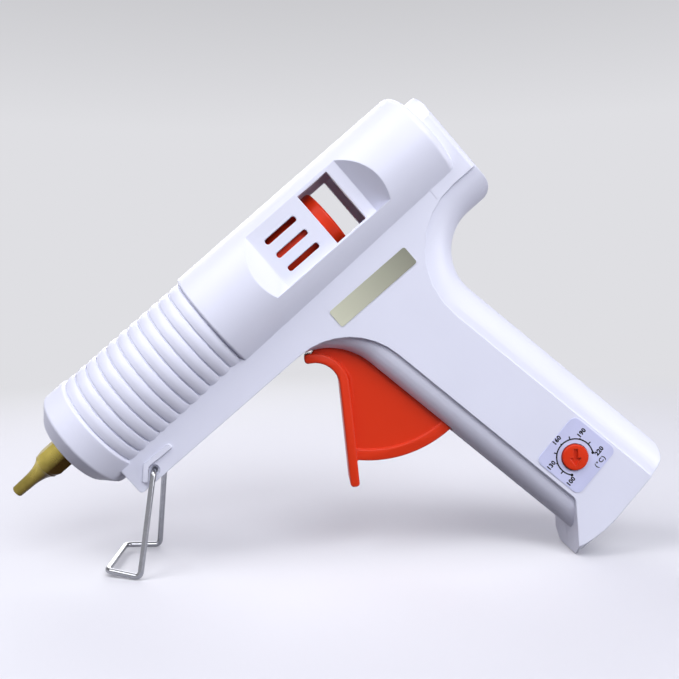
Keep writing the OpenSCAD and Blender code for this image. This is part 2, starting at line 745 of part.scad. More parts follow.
// Nozzle: slim tip, hollow flare, chamfered hexagon and threaded shank
module nozzle() {
  flat_r = hex_af / 2;
  corner_r = flat_r / cos(30);
  flare = 8.2;
  flare_end = 65;
  root_r = tip_r + 0.2;
  profile = concat(
    [[orifice_r, -nozzle_len], [tip_r - 0.3, -nozzle_len], [tip_r, -nozzle_len + 0.3]],
    [for (i = [0 : arc_steps]) let (a = flare_end * i / arc_steps)
      [root_r + (flat_r - 0.2 - root_r) * (1 - cos(a)) / (1 - cos(flare_end)),
        -hex_len - flare + flare * sin(a) / sin(flare_end)]],
    [[flat_r - 0.2, hex_back - 3], [shank_r, hex_back - 3], [shank_r, hex_back + shank_len],
      [valve_r, hex_back + shank_len], [valve_r, valve_start + 2], [orifice_r, valve_start]]);
  color(brass) feed_line() {
    along_x() polygon(profile);
    intersection() {
      rotate([0, 90, 0]) rotate([0, 0, hex_turn]) translate([0, 0, -hex_len - over])
        cylinder(r = corner_r, h = hex_len + over + hex_back, $fn = 6);
      along_x() polygon([[shank_r - 0.6, -hex_len], [flat_r - 0.4, -hex_len], [corner_r + 0.1, 3 - hex_len],
        [corner_r + 0.1, hex_back + over], [shank_r - 0.6, hex_back + over]]);
    }
  }
}

ball_x = valve_start + 2.3;
module nozzle_ball() { color(steel) feed_line() translate([ball_x, 0, 0]) sphere(ball_r); }

valve_coil = coil(valve_r - 0.75, hex_back + shank_len - ball_x - ball_r - 0.3, 6, 8);
module nozzle_spring() {
  color(steel) feed_line() translate([ball_x + ball_r - 0.05, 0, 0]) rotate([0, 90, 0])
    tube(valve_coil, 0.3, 6, [0, 0, 1]);
}

module melt_chamber() {
  funnel_start = hex_back + shank_len + 0.1 + channel_len;
  color(aluminium) feed_line() difference() {
    union() {
      rod_x(hex_back, chamber_end - spigot_len, chamber_r);
      rod_x(chamber_end - spigot_len - over, chamber_end, spigot_r);
      translate([heater_x - 1, -pad_half, -pad_drop]) cube([heater_len + 2, 2 * pad_half, pad_drop]);
    }
    along_x() polygon([[0, hex_back - over], [shank_r + seat_gap, hex_back - over],
      [shank_r + seat_gap, hex_back + shank_len + 0.1], [channel_r, hex_back + shank_len + 0.1],
      [channel_r, funnel_start], [stick_bore_r, funnel_start + funnel_len],
      [stick_bore_r, chamber_end + over], [0, chamber_end + over]]);
  }
}

module heater() {
  color(phenolic) feed_line() translate([heater_x, -pad_half + 0.6, -pad_drop - heater_t])
    cube([heater_len, 2 * pad_half - 1.2, heater_t]);
}

// Spring clip bent over the chamber and under the heater
module heater_clip() {
  out_r = chamber_r + seat_gap + clip_t;
  low = pad_drop + heater_t + seat_gap;
  leg = pad_half + seat_gap;
  color(steel) feed_line() translate([heater_x + (heater_len - clip_len) / 2, 0, 0]) rotate([90, 0, 90])
    linear_extrude(clip_len) difference() {
      union() {
        circle(out_r);
        translate([-leg - clip_t, -low - clip_t]) square([2 * (leg + clip_t), low]);
      }
      circle(chamber_r + seat_gap);
      translate([-leg, -low]) square([2 * leg, low]);
      translate([-2, -low - over]) square([4, over + clip_t]);
    }
}

module heat_shield() {
  color(mica) stood() difference() {
    rod_x(nose_seat + nose_bush_len + 0.5, rear_bush_x - 0.5, bay_r - shield_gap);
    rod_x(0, chamber_end, bay_r - shield_gap - shield_t);
  }
}

module nose_bushing() {
  color(phenolic) stood() difference() {
    rod_x(nose_seat, nose_seat + nose_bush_len, nose_bush_r);
    translate([0, 0, feed_rise]) rod_x(-over, chamber_end, chamber_r + seat_gap);
  }
}

module rear_bushing() {
  color(phenolic) stood() difference() {
    rod_x(rear_bush_x, rear_bush_x + rear_bush_len, bay_r - seat_gap);
    translate([0, 0, feed_rise]) rod_x(0, chamber_end, chamber_r + seat_gap);
    for (a = [0 : 60 : 300])
      rotate([a, 0, 0]) translate([rear_bush_x - over, 0, bay_r - 3]) rotate([0, 90, 0])
        cylinder(r = 1.6, h = 3 * over);
  }
}

module inlet_sleeve() {
  color(silicone) feed_line() along_x() polygon([
    [spigot_r + seat_gap, sleeve_start], [spigot_r + sleeve_t, sleeve_start],
    [spigot_r + sleeve_t, sleeve_start + spigot_len], [stick_bore_r + 1.6, sleeve_start + spigot_len + 4],
    [stick_bore_r + 1.6, sleeve_start + sleeve_len], [stick_bore_r + 0.3, sleeve_start + sleeve_len],
    [stick_bore_r, sleeve_start + sleeve_len - 2], [stick_bore_r, chamber_end + seat_gap],
    [spigot_r + seat_gap, chamber_end + seat_gap]]);
}

module sleeve_clip() {
  r = spigot_r + sleeve_t + seat_gap;
  color(steel) feed_line() translate([sleeve_start + 1.8, 0, 0]) rotate([90, 0, 90]) linear_extrude(2.4)
    difference() {
      union() {
        circle(r + clip_ring_t);
        translate([-2.2, 0]) square([4.4, r + 3]);
      }
      circle(r);
      translate([-1.2, 0]) square([2.4, r + over]);
    }
}

// Carriage round the stick, with a forked lug below and a slot for the jaw above
module feed_carriage() {
  front = carriage_rear - carriage_len;
  drive_z = -drive_drop - feed_rise;
  color(orange_abs) feed_line() difference() {
    union() {
      along_x() polygon(rounded([[stick_bore_r + 0.4, front, 0], [carriage_r, front, 1],
        [carriage_r, carriage_rear, 1], [stick_bore_r + 0.4, carriage_rear, 0]]));
      translate([drive_x - lug_half_len, -lug_half_w, drive_z - 3.2])
        cube([2 * lug_half_len, 2 * lug_half_w, 3.2 - drive_z - stick_bore_r - 1]);
    }
    rod_x(front - over, carriage_rear + over, stick_bore_r + 0.4);
    translate([drive_x - 2 * lug_half_len, -arm_half_w - free_gap, drive_z - over])
      cube([4 * lug_half_len, 2 * (arm_half_w + free_gap), over - drive_z - carriage_r + 1.5]);
    rod_y([drive_x, drive_z], -barrel_r, barrel_r, drive_pin_r + press_gap);
    translate([jaw_x - jaw_len - 1.5, -jaw_half_w - free_gap, 0])
      cube([jaw_len + 4.5, 2 * (jaw_half_w + free_gap), barrel_r]);
    rod_y([jaw_x, jaw_z], -jaw_pin_half, jaw_pin_half, jaw_pin_r + press_gap);
  }
}

module drive_pin() {
  color(steel) stood() rod_y([drive_x, -drive_drop], -lug_half_w, lug_half_w, drive_pin_r);
}

// Toothed jaw that tips onto the stick
module stick_jaw() {
  teeth = 3;
  color(steel) feed_line() translate([jaw_x, 0, jaw_z]) difference() {
    upright(jaw_half_w) polygon(concat(
      rounded([[-jaw_len, 0.2, 0], [-jaw_len, 1.4, 0.6], [0, 2.1, 1.2], [2.1, 2, 1.2], [2.1, -1.6, 1.2], [0, -2, 0]]),
      [for (i = [0 : 2 * teeth]) [-1.6 - i, i % 2 == 0 ? -1.8 : -2.6]]));
    rod_y([0, 0], -over, over, jaw_pin_r + run_gap);
  }
}

module jaw_pin() {
  color(steel) feed_line() rod_y([jaw_x, jaw_z], -jaw_pin_half + press_gap, jaw_pin_half - press_gap, jaw_pin_r);
}

// Trigger: finger pad, web, lower rim, hub, fork arm and spring tail, about its pivot
function pad_side(t) =
  let (d1 = unit(pad_corner - pad_hook), d2 = unit(pad_tip - pad_corner))
  let (n1 = [d1.y, -d1.x] * t, n2 = [d2.y, -d2.x] * t)
  let (a = pad_hook + n1, c = pad_tip + n2, b1 = pad_corner + n1, b2 = pad_corner + n2)
  let (k = (d2.x * (b1.y - b2.y) - d2.y * (b1.x - b2.x)) / (d1.x * d2.y - d1.y * d2.x))
  [a, b1 + d1 * k, c];
module trigger_pad() {
  front = pad_side(pad_t / 2);
  back = pad_side(-pad_t / 2);
  upright(pad_half_w) polygon(rounded([
    concat(front[0], [pad_t * 0.4]), concat(front[1], [pad_bend_r - pad_t / 2]), concat(front[2], [pad_t * 0.4]),
    concat(back[2], [pad_t * 0.4]), concat(back[1], [pad_bend_r + pad_t / 2]), concat(back[0], [pad_t * 0.4])]));
}
rim_from = 221;
rim_to = 276;
module trigger() {
  inner_r = rim_r - rim_t;
  arm_end = lever / cos(arm_lean) + 4.4;
  color(orange_abs) stood() translate([pivot.x, 0, pivot.y]) {
    difference() {
      union() {
        trigger_pad();
        upright(web_half_w) polygon(concat(
          [[2, 9], pad_hook + [6, 0.6], pad_hook + [1.5, -0.4], [pad_corner.x - 3, 0], [pad_corner.x - 4, -6]],
          [for (i = [0 : arc_steps]) let (a = rim_from + (rim_to - rim_from) * i / arc_steps)
            (rim_r - rim_t / 2) * [cos(a), sin(a)]],
          [[4, -4]]));
        rotate([90, 0, 0]) rotate([0, 0, rim_from - 1]) rotate_extrude(angle = rim_to - rim_from + 1)
          translate([inner_r, -rim_half_w]) square([rim_t, 2 * rim_half_w]);
        rod_y([0, 0], -hub_half_w, hub_half_w, hub_r);
        rotate([0, arm_lean, 0]) upright(arm_half_w)
          polygon(rounded([[-arm_w / 2 - 1.5, 0, 0], [arm_w / 2 + 1.5, 0, 0],
            [arm_w / 2, arm_end, 1.5], [-arm_w / 2, arm_end, 1.5]]));
        upright(tail_half_w) polygon(strip([0, 0], [tail_len, 0], tail_w));
      }
      rod_y([0, 0], -barrel_r, barrel_r, trigger_pin_r + run_gap);
      rotate([0, arm_lean, 0]) upright(barrel_r)
        translate([-drive_pin_r - free_gap, lever / cos(arm_lean) - drive_pin_r - 1])
          square([2 * (drive_pin_r + free_gap), 2 * over + 5]);
      rod_y([tail_len, 0], -coil_wire_r - free_gap, coil_wire_r + free_gap, tail_clear_r);
    }
    rod_y([tail_len, 0], -tail_half_w + 0.2, tail_half_w - 0.2, tail_bar_r);
  }
}

module trigger_pin() {
  half = panel_w(pivot.x) - 3.2;
  color(steel) stood() rod_y(pivot, -half, half, trigger_pin_r);
}

// Tension spring hooked on the bar in the trigger's tail and on the post in the right half
spring_run = spring_post - (pivot + [tail_len, 0]);
spring_hook = 3;
spring_coil = coil(coil_r, norm(spring_run) - 2 * (spring_hook + coil_lead), coil_turns, 8);
function hook(r) = [for (a = [300 : -30 : 60]) r * [sin(a), 0, cos(a)]];
spring_path = let (l = norm(spring_run), far = hook(post_r + coil_wire_r + hook_gap))
  concat(hook(tail_bar_r + coil_wire_r + hook_gap), [[0, 0, spring_hook]],
    [for (p = spring_coil) p + [0, 0, spring_hook + coil_lead]],
    [[0, 0, l - spring_hook]],
    [for (i = [len(far) - 1 : -1 : 0]) [far[i].x, 0, l - far[i].z]]);
echo(return_spring_gap = coil_gap(spring_coil, 8, 2 * coil_wire_r));
module return_spring() {
  color(steel) stood() translate([pivot.x + tail_len, 0, pivot.y])
    rotate([0, 90 - atan2(spring_run.y, spring_run.x), 0]) tube(spring_path, coil_wire_r, 6, [0, 1, 0]);
}

module stick_guide() {
  end = body_len - 0.3;
  color(white_abs) feed_line() difference() {
    union() {
      rod_x(hall_end, end, guide_r);
      rod_x(hall_end - guide_flange_t, hall_end, guide_flange_r);
    }
    rod_x(hall_end - over, body_len + over, stick_bore_r);
    along_x() polygon([[stick_bore_r - 1, end - 2], [stick_bore_r, end - 1], [stick_bore_r + 2, end + 1],
      [stick_bore_r - 1, end + 1]]);
  }
}

// Circuit board on two posts, with its parts
module control_board() {
  color(board_green) stood() handle_frame() {
    translate([dial_g - board_half_w, board_y - board_t, -dial_h - board_down])
      cube([2 * board_half_w, board_t, board_up + board_down]);
    translate([dial_g + 0.4, board_y, -dial_h - board_down + 1]) cube([relay_w, relay_h, relay_len]);
    translate([dial_g - large_cap_r - 1.8, board_y, -dial_h + 5]) rotate([-90, 0, 0])
      cylinder(r = large_cap_r, h = large_cap_h);
    translate([dial_g + small_cap_r + 2.2, board_y, -dial_h + 6]) rotate([-90, 0, 0])
      cylinder(r = small_cap_r, h = small_cap_h);
  }
}

pot_face = 5;
module potentiometer() {
  color(steel) stood() difference() {
    rod_y(dial_pt, board_y - board_t - pot_face, board_y - board_t, pot_r);
    rod_y(dial_pt, board_y - board_t - pot_face - over, board_y - board_t - 1.5, pot_shaft_r + run_gap);
  }
}

module dial_shaft() {
  color(aluminium) stood() rod_y(dial_pt, -(dial_face_y - 1), board_y - board_t - 1.6, pot_shaft_r);
}

// Dial with a screwdriver arrow sunk in its face
module dial() {
  face = dial_face_y + dial_rise;
  skirt = dial_face_y - 2.6;
  color(orange_abs) stood() difference() {
    rod_y(dial_pt, -face, -skirt, dial_r);
    rod_y(dial_pt, -(dial_face_y - 0.9), 0, pot_shaft_r + seat_gap);
    translate([dial_pt.x, -face, dial_pt.y]) rotate([0, tilt, 0]) upright(0.8) polygon([
      [-0.7, 2.8], [0.7, 2.8], [0.7, -0.2], [2, -0.2], [0, -3], [-2, -0.2], [-0.7, -0.2]]);
  }
}

// Foil plates lie on the slanted side panels
module on_panel(p) {
  slope = atan((panel_w_rear - panel_w_front) / panel_gauge);
  translate([p.x, -panel_w(p.x), p.y]) rotate([0, 0, -slope]) children();
}
module dial_plate() {
  w = dial_plate_w / 2;
  h = dial_plate_h / 2;
  color(scale_lavender) stood() difference() {
    on_panel(handle_pt(dial_g + 0.7, dial_h)) rotate([0, -lean, 0]) translate([0, -foil_t / 2, 0])
      upright(foil_t / 2) polygon(rounded([[-w, -h, 2.4], [w, -h, 2.4], [w, h, 2.4], [-w, h, 2.4]]));
    rod_y(dial_pt, -barrel_r, 0, dial_r + free_gap);
  }
}

module name_plate() {
  w = name_len / 2;
  h = name_h / 2;
  color(foil_silver) stood() on_panel([flat_start + flat_len / 2 + 1.85, 1.25 - keel_drop])
    translate([0, -foil_t / 2, 0]) upright(foil_t / 2)
      polygon(rounded([[-w, -h, 0.8], [w, -h, 0.8], [w, h, 0.8], [-w, h, 0.8]]));
}

module cord_gland() {
  top = grip_len - wall;
  color(black_rubber) stood() handle_frame() translate([gland_g, 0, 0]) difference() {
    union() {
      translate([0, 0, -grip_len + 0.2]) cylinder(r = gland_neck_r, h = wall - 0.2);
      translate([0, 0, -top]) cylinder(r = gland_flange_r, h = gland_flange_t);
    }
    translate([0, 0, -grip_len - over]) cylinder(r = cord_bore_r, h = 4 * over);
  }
}

// Stand bent from one wire, with its two ends turned into the keel
module stand() {
  inner = panel_w(stand_x) - 3.4;
  function at(p, y) = [p.x, y, p.y];
  half_path = [at(stand_pivot, inner + 1), at(stand_pivot, stand_side), at(foot_corner, foot_half_w),
    at(foot_front, bar_half_w)];
  path = concat([for (p = half_path) [p.x, -p.y, p.z]], [for (i = [3 : -1 : 0]) half_path[i]]);
  color(steel) stood() {
    tube(eased(path, 2, 4), wire_r, 10, [1, 0, 0.3]);
    for (s = [0, 1]) mirror([0, s, 0]) rod_y(stand_pivot, inner, stand_side - 2, stand_pin_r);
  }
}

module shell_screws() {
  color(steel) stood() for (p = screw_pts) difference() {
    union() {
      rod_y(p, -screw_reach, screw_seat + 0.2, screw_r);
      rod_y(p, screw_seat, screw_seat + screw_head_h, screw_head_r);
    }
    for (a = [45, 135]) translate([p.x, screw_seat + screw_head_h, p.y]) rotate([0, a, 0])
      cube([drive_slot_len, 2 * drive_slot_depth, drive_slot_w], center = true);
  }
}

shell_left();
shell_right();
nozzle();
nozzle_ball();
nozzle_spring();
melt_chamber();
heater();
heater_clip();
heat_shield();
nose_bushing();
rear_bushing();
inlet_sleeve();
sleeve_clip();
feed_carriage();
drive_pin();
stick_jaw();
jaw_pin();
trigger();
trigger_pin();
return_spring();
stick_guide();
control_board();
potentiometer();
dial_shaft();
dial();
dial_plate();
name_plate();
cord_gland();
stand();
shell_screws();
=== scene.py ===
"""Looks of a trigger-fed hot glue applicator that stands on its wire stand and the toe of its handle."""
import json
import math

import bmesh
import bpy
from bpy.props import FloatProperty, FloatVectorProperty, IntProperty, PointerProperty
from mathutils import Matrix, Vector


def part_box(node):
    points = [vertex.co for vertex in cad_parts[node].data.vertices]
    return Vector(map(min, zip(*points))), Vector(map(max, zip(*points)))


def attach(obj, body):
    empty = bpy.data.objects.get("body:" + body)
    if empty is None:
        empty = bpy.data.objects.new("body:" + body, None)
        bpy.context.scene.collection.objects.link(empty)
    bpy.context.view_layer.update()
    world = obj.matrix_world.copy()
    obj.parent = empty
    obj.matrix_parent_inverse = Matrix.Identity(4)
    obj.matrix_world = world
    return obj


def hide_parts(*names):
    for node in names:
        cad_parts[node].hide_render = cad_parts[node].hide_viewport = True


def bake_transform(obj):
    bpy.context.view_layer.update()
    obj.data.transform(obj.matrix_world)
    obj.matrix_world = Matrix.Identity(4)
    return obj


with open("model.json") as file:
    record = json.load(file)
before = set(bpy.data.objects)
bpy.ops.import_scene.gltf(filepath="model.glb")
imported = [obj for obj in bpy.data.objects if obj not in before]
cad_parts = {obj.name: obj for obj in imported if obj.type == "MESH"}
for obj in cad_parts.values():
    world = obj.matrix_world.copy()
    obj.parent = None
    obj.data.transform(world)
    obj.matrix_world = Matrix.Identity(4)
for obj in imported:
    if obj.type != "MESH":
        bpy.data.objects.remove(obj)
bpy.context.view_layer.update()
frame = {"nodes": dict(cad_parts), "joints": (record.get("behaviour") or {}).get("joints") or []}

bl_info = {
    "name": "Hot glue applicator",
    "version": (1, 0, 0),
    "blender": (4, 5, 0),
    "location": "View3D > Sidebar > Glue gun",
    "description": "Finishes, wires, printed scale and studio of a hot glue applicator",
    "category": "Object",
}

MM = 0.001

# Distance within which the vertices of a CAD mesh are merged
WELD = 0.001 * MM

# Colour sockets of a mix node: first and second colour in, mixed colour out
MIX_A = 6
MIX_B = 7
MIX_OUT = 2

# Noise values between which soft patches spread
CLOUD_LOW = 0.3
CLOUD_HIGH = 0.7

# Radians that a wave texture runs in one unit at scale 1
WAVE_RUN = 20

# Camera at the photograph's angle: place in metres and turn in degrees
CAMERA_PLACE = (-0.009759, -0.288849, 0.090725)
CAMERA_TURN = (87.2099, 1.3315, -2.4747)
LAMP_TARGET = Vector((0, 0, 0.08))

# Directions of the gun: back along the barrel, across to its right, up from the barrel
joints = {joint["name"]: joint for joint in frame["joints"]}
BACK = -Vector(joints["carriage_slide"]["axis"]).normalized()
ACROSS = Vector((0, 1, 0))
UP = Vector((-BACK.z, 0, BACK.x))
TILT = math.atan2(BACK.z, BACK.x)

# The trigger's pivot is the datum, in the scene in metres and in the gun frame in millimetres
PIVOT = Vector(joints["trigger_pull"]["pos_m"])
PIVOT_GUN = Vector((106.1, 0, -38.6))

# Lengths in millimetres: the nozzle, the feed line's height above the barrel's axis, the body,
# and the half widths of the side panels at the body's front and rear
NOZZLE_LEN = 20.8
FEED_RISE = 1.65
BODY_LEN = 170.8
PANEL_FRONT = 9.66
PANEL_REAR = 14.8

# Rearward lean of the handle, in degrees
HANDLE_LEAN = 9.75

# Infill of the crook between the finger pad's bend and the web, in millimetres from the trigger's pivot
CROOK = ((-14.6, 0.6), (-12.4, 0.6), (-13.4, -6), (-17.2, -11.5), (-19.4, -13), (-16.2, -6))
CROOK_HALF = 5.25

# Stand in millimetres: hinge, leg and its angle in degrees, foot, and half widths along half of the wire
STAND_HINGE = Vector((22.4, 0, -23.7))
LEG_ANGLE = 43
LEG_LEN = 34
FOOT_LEN = 11.7
STAND_HALVES = (6.93, 11.634, 18.6, 14.6)
STAND_BEND = 2

# Return spring in millimetres: its ends from the trigger's pivot, how far its neck and coil lie from them,
# and the radius of the hook at each end
TAIL_END = Vector((12.6, 0, 0))
SPRING_POST = Vector((25.1, 0, -27.4))
SPRING_NECK = 3
SPRING_LEAD = 5
TAIL_HOOK = 1.45
POST_HOOK = 2.05


def gun(x, y, z):
    """A point of the gun frame in millimetres, as a point of the scene in metres."""
    offset = (Vector((x, y, z)) - PIVOT_GUN) * MM
    return PIVOT + BACK * offset.x + ACROSS * offset.y + UP * offset.z


def linear(code):
    """An sRGB hex colour as linear red, green and blue."""
    parts = [int(code[i:i + 2], 16) / 255 for i in (1, 3, 5)]
    return tuple(c / 12.92 if c <= 0.04045 else ((c + 0.055) / 1.055) ** 2.4 for c in parts)


def rgba(colour):
    """A colour with full cover."""
    return (*tuple(colour)[:3], 1.0)


def shade(colour, factor):
    """A colour made darker or lighter by a factor."""
    return tuple(c * factor for c in tuple(colour)[:3])


def feed(tree, node, feeds):
    """Sets a node's sockets to values, or links them to other nodes' outputs."""
    for socket, source in feeds.items():
        if isinstance(source, bpy.types.NodeSocket):
            tree.links.new(source, node.inputs[socket])
        else:
            node.inputs[socket].default_value = source


def add_node(tree, kind, feeds=None, stops=(), **options):
    """Adds a node, sets its options, feeds its sockets, and sets the stops of its colour ramp."""
    node = tree.nodes.new(kind)
    for key, value in options.items():
        setattr(node, key, value)
    feed(tree, node, feeds or {})
    for index, (place, colour) in enumerate(stops):
        node.color_ramp.elements[index].position = place
        node.color_ramp.elements[index].color = rgba(colour)
    return node


def new_material(name, feeds):
    """A material with one principled shader, whose plain numbers are set on its own sockets."""
    material = bpy.data.materials.new(name)
    material.use_nodes = True
    shader = material.node_tree.nodes["Principled BSDF"]
    feed(material.node_tree, shader, feeds)
    return material, material.node_tree, shader


def cloudy(tree, coords, size, low, high, detail=2.0):
    """Soft noise patches of a size in metres: their strength, and their colour between two colours."""
    noise = add_node(tree, "ShaderNodeTexNoise", {"Vector": coords, "Scale": 1 / size, "Detail": detail})
    strength = noise.outputs["Fac"]
    ramp = add_node(tree, "ShaderNodeValToRGB", {"Fac": strength}, ((CLOUD_LOW, low), (CLOUD_HIGH, high)))
    return strength, ramp.outputs["Color"]


def moulded_abs(name, colour, gloss, sheen=0.5):
    # ABS moulded in a spark-eroded tool: satin, with fine even grain, faint flow clouds and soft edges.
    # The grain of about 0.15 mm is drawn at 0.4 mm, because a finer one would not show.
    flow_size = 30 * MM
    grain_size = 0.4 * MM
    edge_radius = 0.45 * MM
    material, tree, shader = new_material(name, {"IOR": 1.53, "Specular IOR Level": sheen})
    coords = add_node(tree, "ShaderNodeTexCoord").outputs["Object"]
    cloud, tint = cloudy(tree, coords, flow_size, shade(colour, 0.965), colour)
    rough = add_node(tree, "ShaderNodeMapRange", {
        "Value": cloud, "From Min": CLOUD_LOW, "From Max": CLOUD_HIGH,
        "To Min": gloss - 0.04, "To Max": gloss + 0.05})
    grain = add_node(tree, "ShaderNodeTexNoise", {"Vector": coords, "Scale": 1 / grain_size, "Detail": 2.0})
    edge = add_node(tree, "ShaderNodeBevel", {"Radius": edge_radius}, samples=6)
    bump = add_node(tree, "ShaderNodeBump", {
        "Height": grain.outputs["Fac"], "Strength": 0.08, "Distance": 0.05 * MM,
        "Normal": edge.outputs["Normal"]})
    feed(tree, shader, {
        "Base Color": tint, "Roughness": rough.outputs["Result"], "Normal": bump.outputs["Normal"]})
    return material


def turned_brass(name, colour):
    # Brass bar turned on a lathe and dulled by heat: fine rings round the axis and brownish tarnish clouds,
    # and painted shade that darkens the nozzle towards its tip and on its underside.
    # The tool marks of about 0.1 mm are drawn 0.35 mm apart.
    tool_mark = 0.35 * MM
    stain_size = 3.5 * MM
    tip_shade_len = 16 * MM
    underside_shade_half = 2.4 * MM
    edge_radius = 0.25 * MM
    material, tree, shader = new_material(name, {"Metallic": 1.0})
    coords = add_node(tree, "ShaderNodeTexCoord").outputs["Object"]
    along = add_node(tree, "ShaderNodeMapping", {
        "Vector": coords, "Rotation": (0, TILT, 0)}).outputs["Vector"]
    rings = add_node(tree, "ShaderNodeTexWave", {
        "Vector": along, "Scale": math.tau / (WAVE_RUN * tool_mark), "Distortion": 0.6},
        wave_type="BANDS", bands_direction="X")
    stain, tint = cloudy(tree, coords, stain_size, shade(colour, 0.75), colour, 4.0)
    tip = gun(-NOZZLE_LEN, 0, FEED_RISE)
    from_tip = add_node(tree, "ShaderNodeMapping", {
        "Vector": along, "Location": (-tip.dot(BACK), 0, -tip.dot(UP))}).outputs["Vector"]
    spot = add_node(tree, "ShaderNodeSeparateXYZ", {"Vector": from_tip}).outputs
    # Painted shade: the share of the brass colour that is kept, falling towards the tip and on the
    # underside
    tip_shade = add_node(tree, "ShaderNodeMapRange", {
        "Value": spot["X"], "From Max": tip_shade_len, "To Min": 0.7, "To Max": 1.0}).outputs["Result"]
    above = add_node(tree, "ShaderNodeMapRange", {
        "Value": spot["Z"], "From Min": -underside_shade_half, "From Max": underside_shade_half,
        "To Min": 0.0, "To Max": 1.0}).outputs["Result"]
    unshaded = add_node(tree, "ShaderNodeMath", {0: tip_shade, 1: above}, operation="MULTIPLY").outputs["Value"]
    # Painted shade in dark brown, mixed in where that share falls
    painted_shade = add_node(tree, "ShaderNodeMix", {
        "Factor": unshaded, MIX_A: rgba(linear("#38270B")), MIX_B: tint}, data_type="RGBA")
    rough = add_node(tree, "ShaderNodeMapRange", {"Value": stain, "To Min": 0.4, "To Max": 0.2})
    edge = add_node(tree, "ShaderNodeBevel", {"Radius": edge_radius}, samples=6)
    bump = add_node(tree, "ShaderNodeBump", {
        "Height": rings.outputs["Fac"], "Strength": 0.12, "Distance": 0.03 * MM,
        "Normal": edge.outputs["Normal"]})
    feed(tree, shader, {
        "Base Color": painted_shade.outputs[MIX_OUT], "Roughness": rough.outputs["Result"],
        "Normal": bump.outputs["Normal"]})
    return material


def plain_metal(name, colour, bright, dull, grit):
    # Plated or cast metal: bright, with patches that are slightly duller, at the size of its grit.
    # Its two roughness values are those of the bright and the dull patches.
    material, tree, shader = new_material(name, {"Metallic": 1.0})
    coords = add_node(tree, "ShaderNodeTexCoord").outputs["Object"]
    patch, tint = cloudy(tree, coords, grit, shade(colour, 0.86), colour, 3.0)
    rough = add_node(tree, "ShaderNodeMapRange", {"Value": patch, "To Min": dull, "To Max": bright})
    bump = add_node(tree, "ShaderNodeBump", {"Height": patch, "Strength": 0.1, "Distance": 0.04 * MM})
    feed(tree, shader, {
        "Base Color": tint, "Roughness": rough.outputs["Result"], "Normal": bump.outputs["Normal"]})
    return material


def flecked_filler(name, colour, fleck, size, rough):
    # Filled sheet or moulding such as phenolic, mica or silicone: matt, with flecks of its filler.
    material, tree, shader = new_material(name, {"Roughness": rough})
    coords = add_node(tree, "ShaderNodeTexCoord").outputs["Object"]
    cells = add_node(tree, "ShaderNodeTexVoronoi", {"Vector": coords, "Scale": 1 / size})
    _, tint = cloudy(tree, coords, 4 * size, colour, fleck, 4.0)
    mixed = add_node(tree, "ShaderNodeMix", {
        "Factor": 0.35, MIX_A: tint, MIX_B: cells.outputs["Color"]},
        data_type="RGBA", blend_type="MULTIPLY")
    bump = add_node(tree, "ShaderNodeBump", {
        "Height": cells.outputs["Distance"], "Strength": 0.15, "Distance": 0.05 * MM})
    feed(tree, shader, {"Base Color": mixed.outputs[MIX_OUT], "Normal": bump.outputs["Normal"]})
    return material


def solder_mask(name, mask, track):
    # Glass-epoxy board under green solder mask: glossy, with copper tracks that show lighter through it.
    field_size = 3 * MM
    track_share = 0.12
    material, tree, shader = new_material(name, {"Roughness": 0.28, "IOR": 1.5})
    coords = add_node(tree, "ShaderNodeTexCoord").outputs["Object"]
    cells = add_node(tree, "ShaderNodeTexVoronoi", {
        "Vector": coords, "Scale": 1 / field_size}, feature="DISTANCE_TO_EDGE")
    ramp = add_node(tree, "ShaderNodeValToRGB", {
        "Fac": cells.outputs["Distance"]}, ((0, track), (track_share, mask)))
    ramp.color_ramp.interpolation = "CONSTANT"
    feed(tree, shader, {"Base Color": ramp.outputs["Color"]})
    return material


def champagne_foil(name, colour):
    # Brushed anodised foil: fine lines along the plate, and a painted sheen that darkens its colour from
    # front to rear.
    # The brushing of about 0.05 mm is drawn 0.3 mm apart.
    brush_gap = 0.3 * MM
    brush_stretch = (0.04, 1, 1)
    plate_front = gun(101.6, 0, 0).dot(BACK)
    plate_len = 33 * MM
    material, tree, shader = new_material(name, {"Metallic": 0.55})
    coords = add_node(tree, "ShaderNodeTexCoord").outputs["Object"]
    along = add_node(tree, "ShaderNodeMapping", {
        "Vector": coords, "Rotation": (0, TILT, 0), "Location": (-plate_front, 0, 0)}).outputs["Vector"]
    place = add_node(tree, "ShaderNodeSeparateXYZ", {"Vector": along}).outputs["X"]
    run = add_node(tree, "ShaderNodeMapRange", {"Value": place, "From Max": plate_len}).outputs["Result"]
    # Painted sheen: the colour falls to 0.4 of itself from the plate's front to its rear
    sheen = add_node(tree, "ShaderNodeValToRGB", {"Fac": run}, ((0, colour), (1, shade(colour, 0.4))))
    drawn = add_node(tree, "ShaderNodeMapping", {
        "Vector": along, "Scale": brush_stretch}).outputs["Vector"]
    lines = add_node(tree, "ShaderNodeTexNoise", {
        "Vector": drawn, "Scale": 1 / brush_gap, "Detail": 1.0}).outputs["Fac"]
    rough = add_node(tree, "ShaderNodeMapRange", {"Value": lines, "To Min": 0.28, "To Max": 0.5})
    bump = add_node(tree, "ShaderNodeBump", {"Height": lines, "Strength": 0.06, "Distance": 0.02 * MM})
    feed(tree, shader, {
        "Base Color": sheen.outputs["Color"], "Roughness": rough.outputs["Result"],
        "Normal": bump.outputs["Normal"]})
    return material


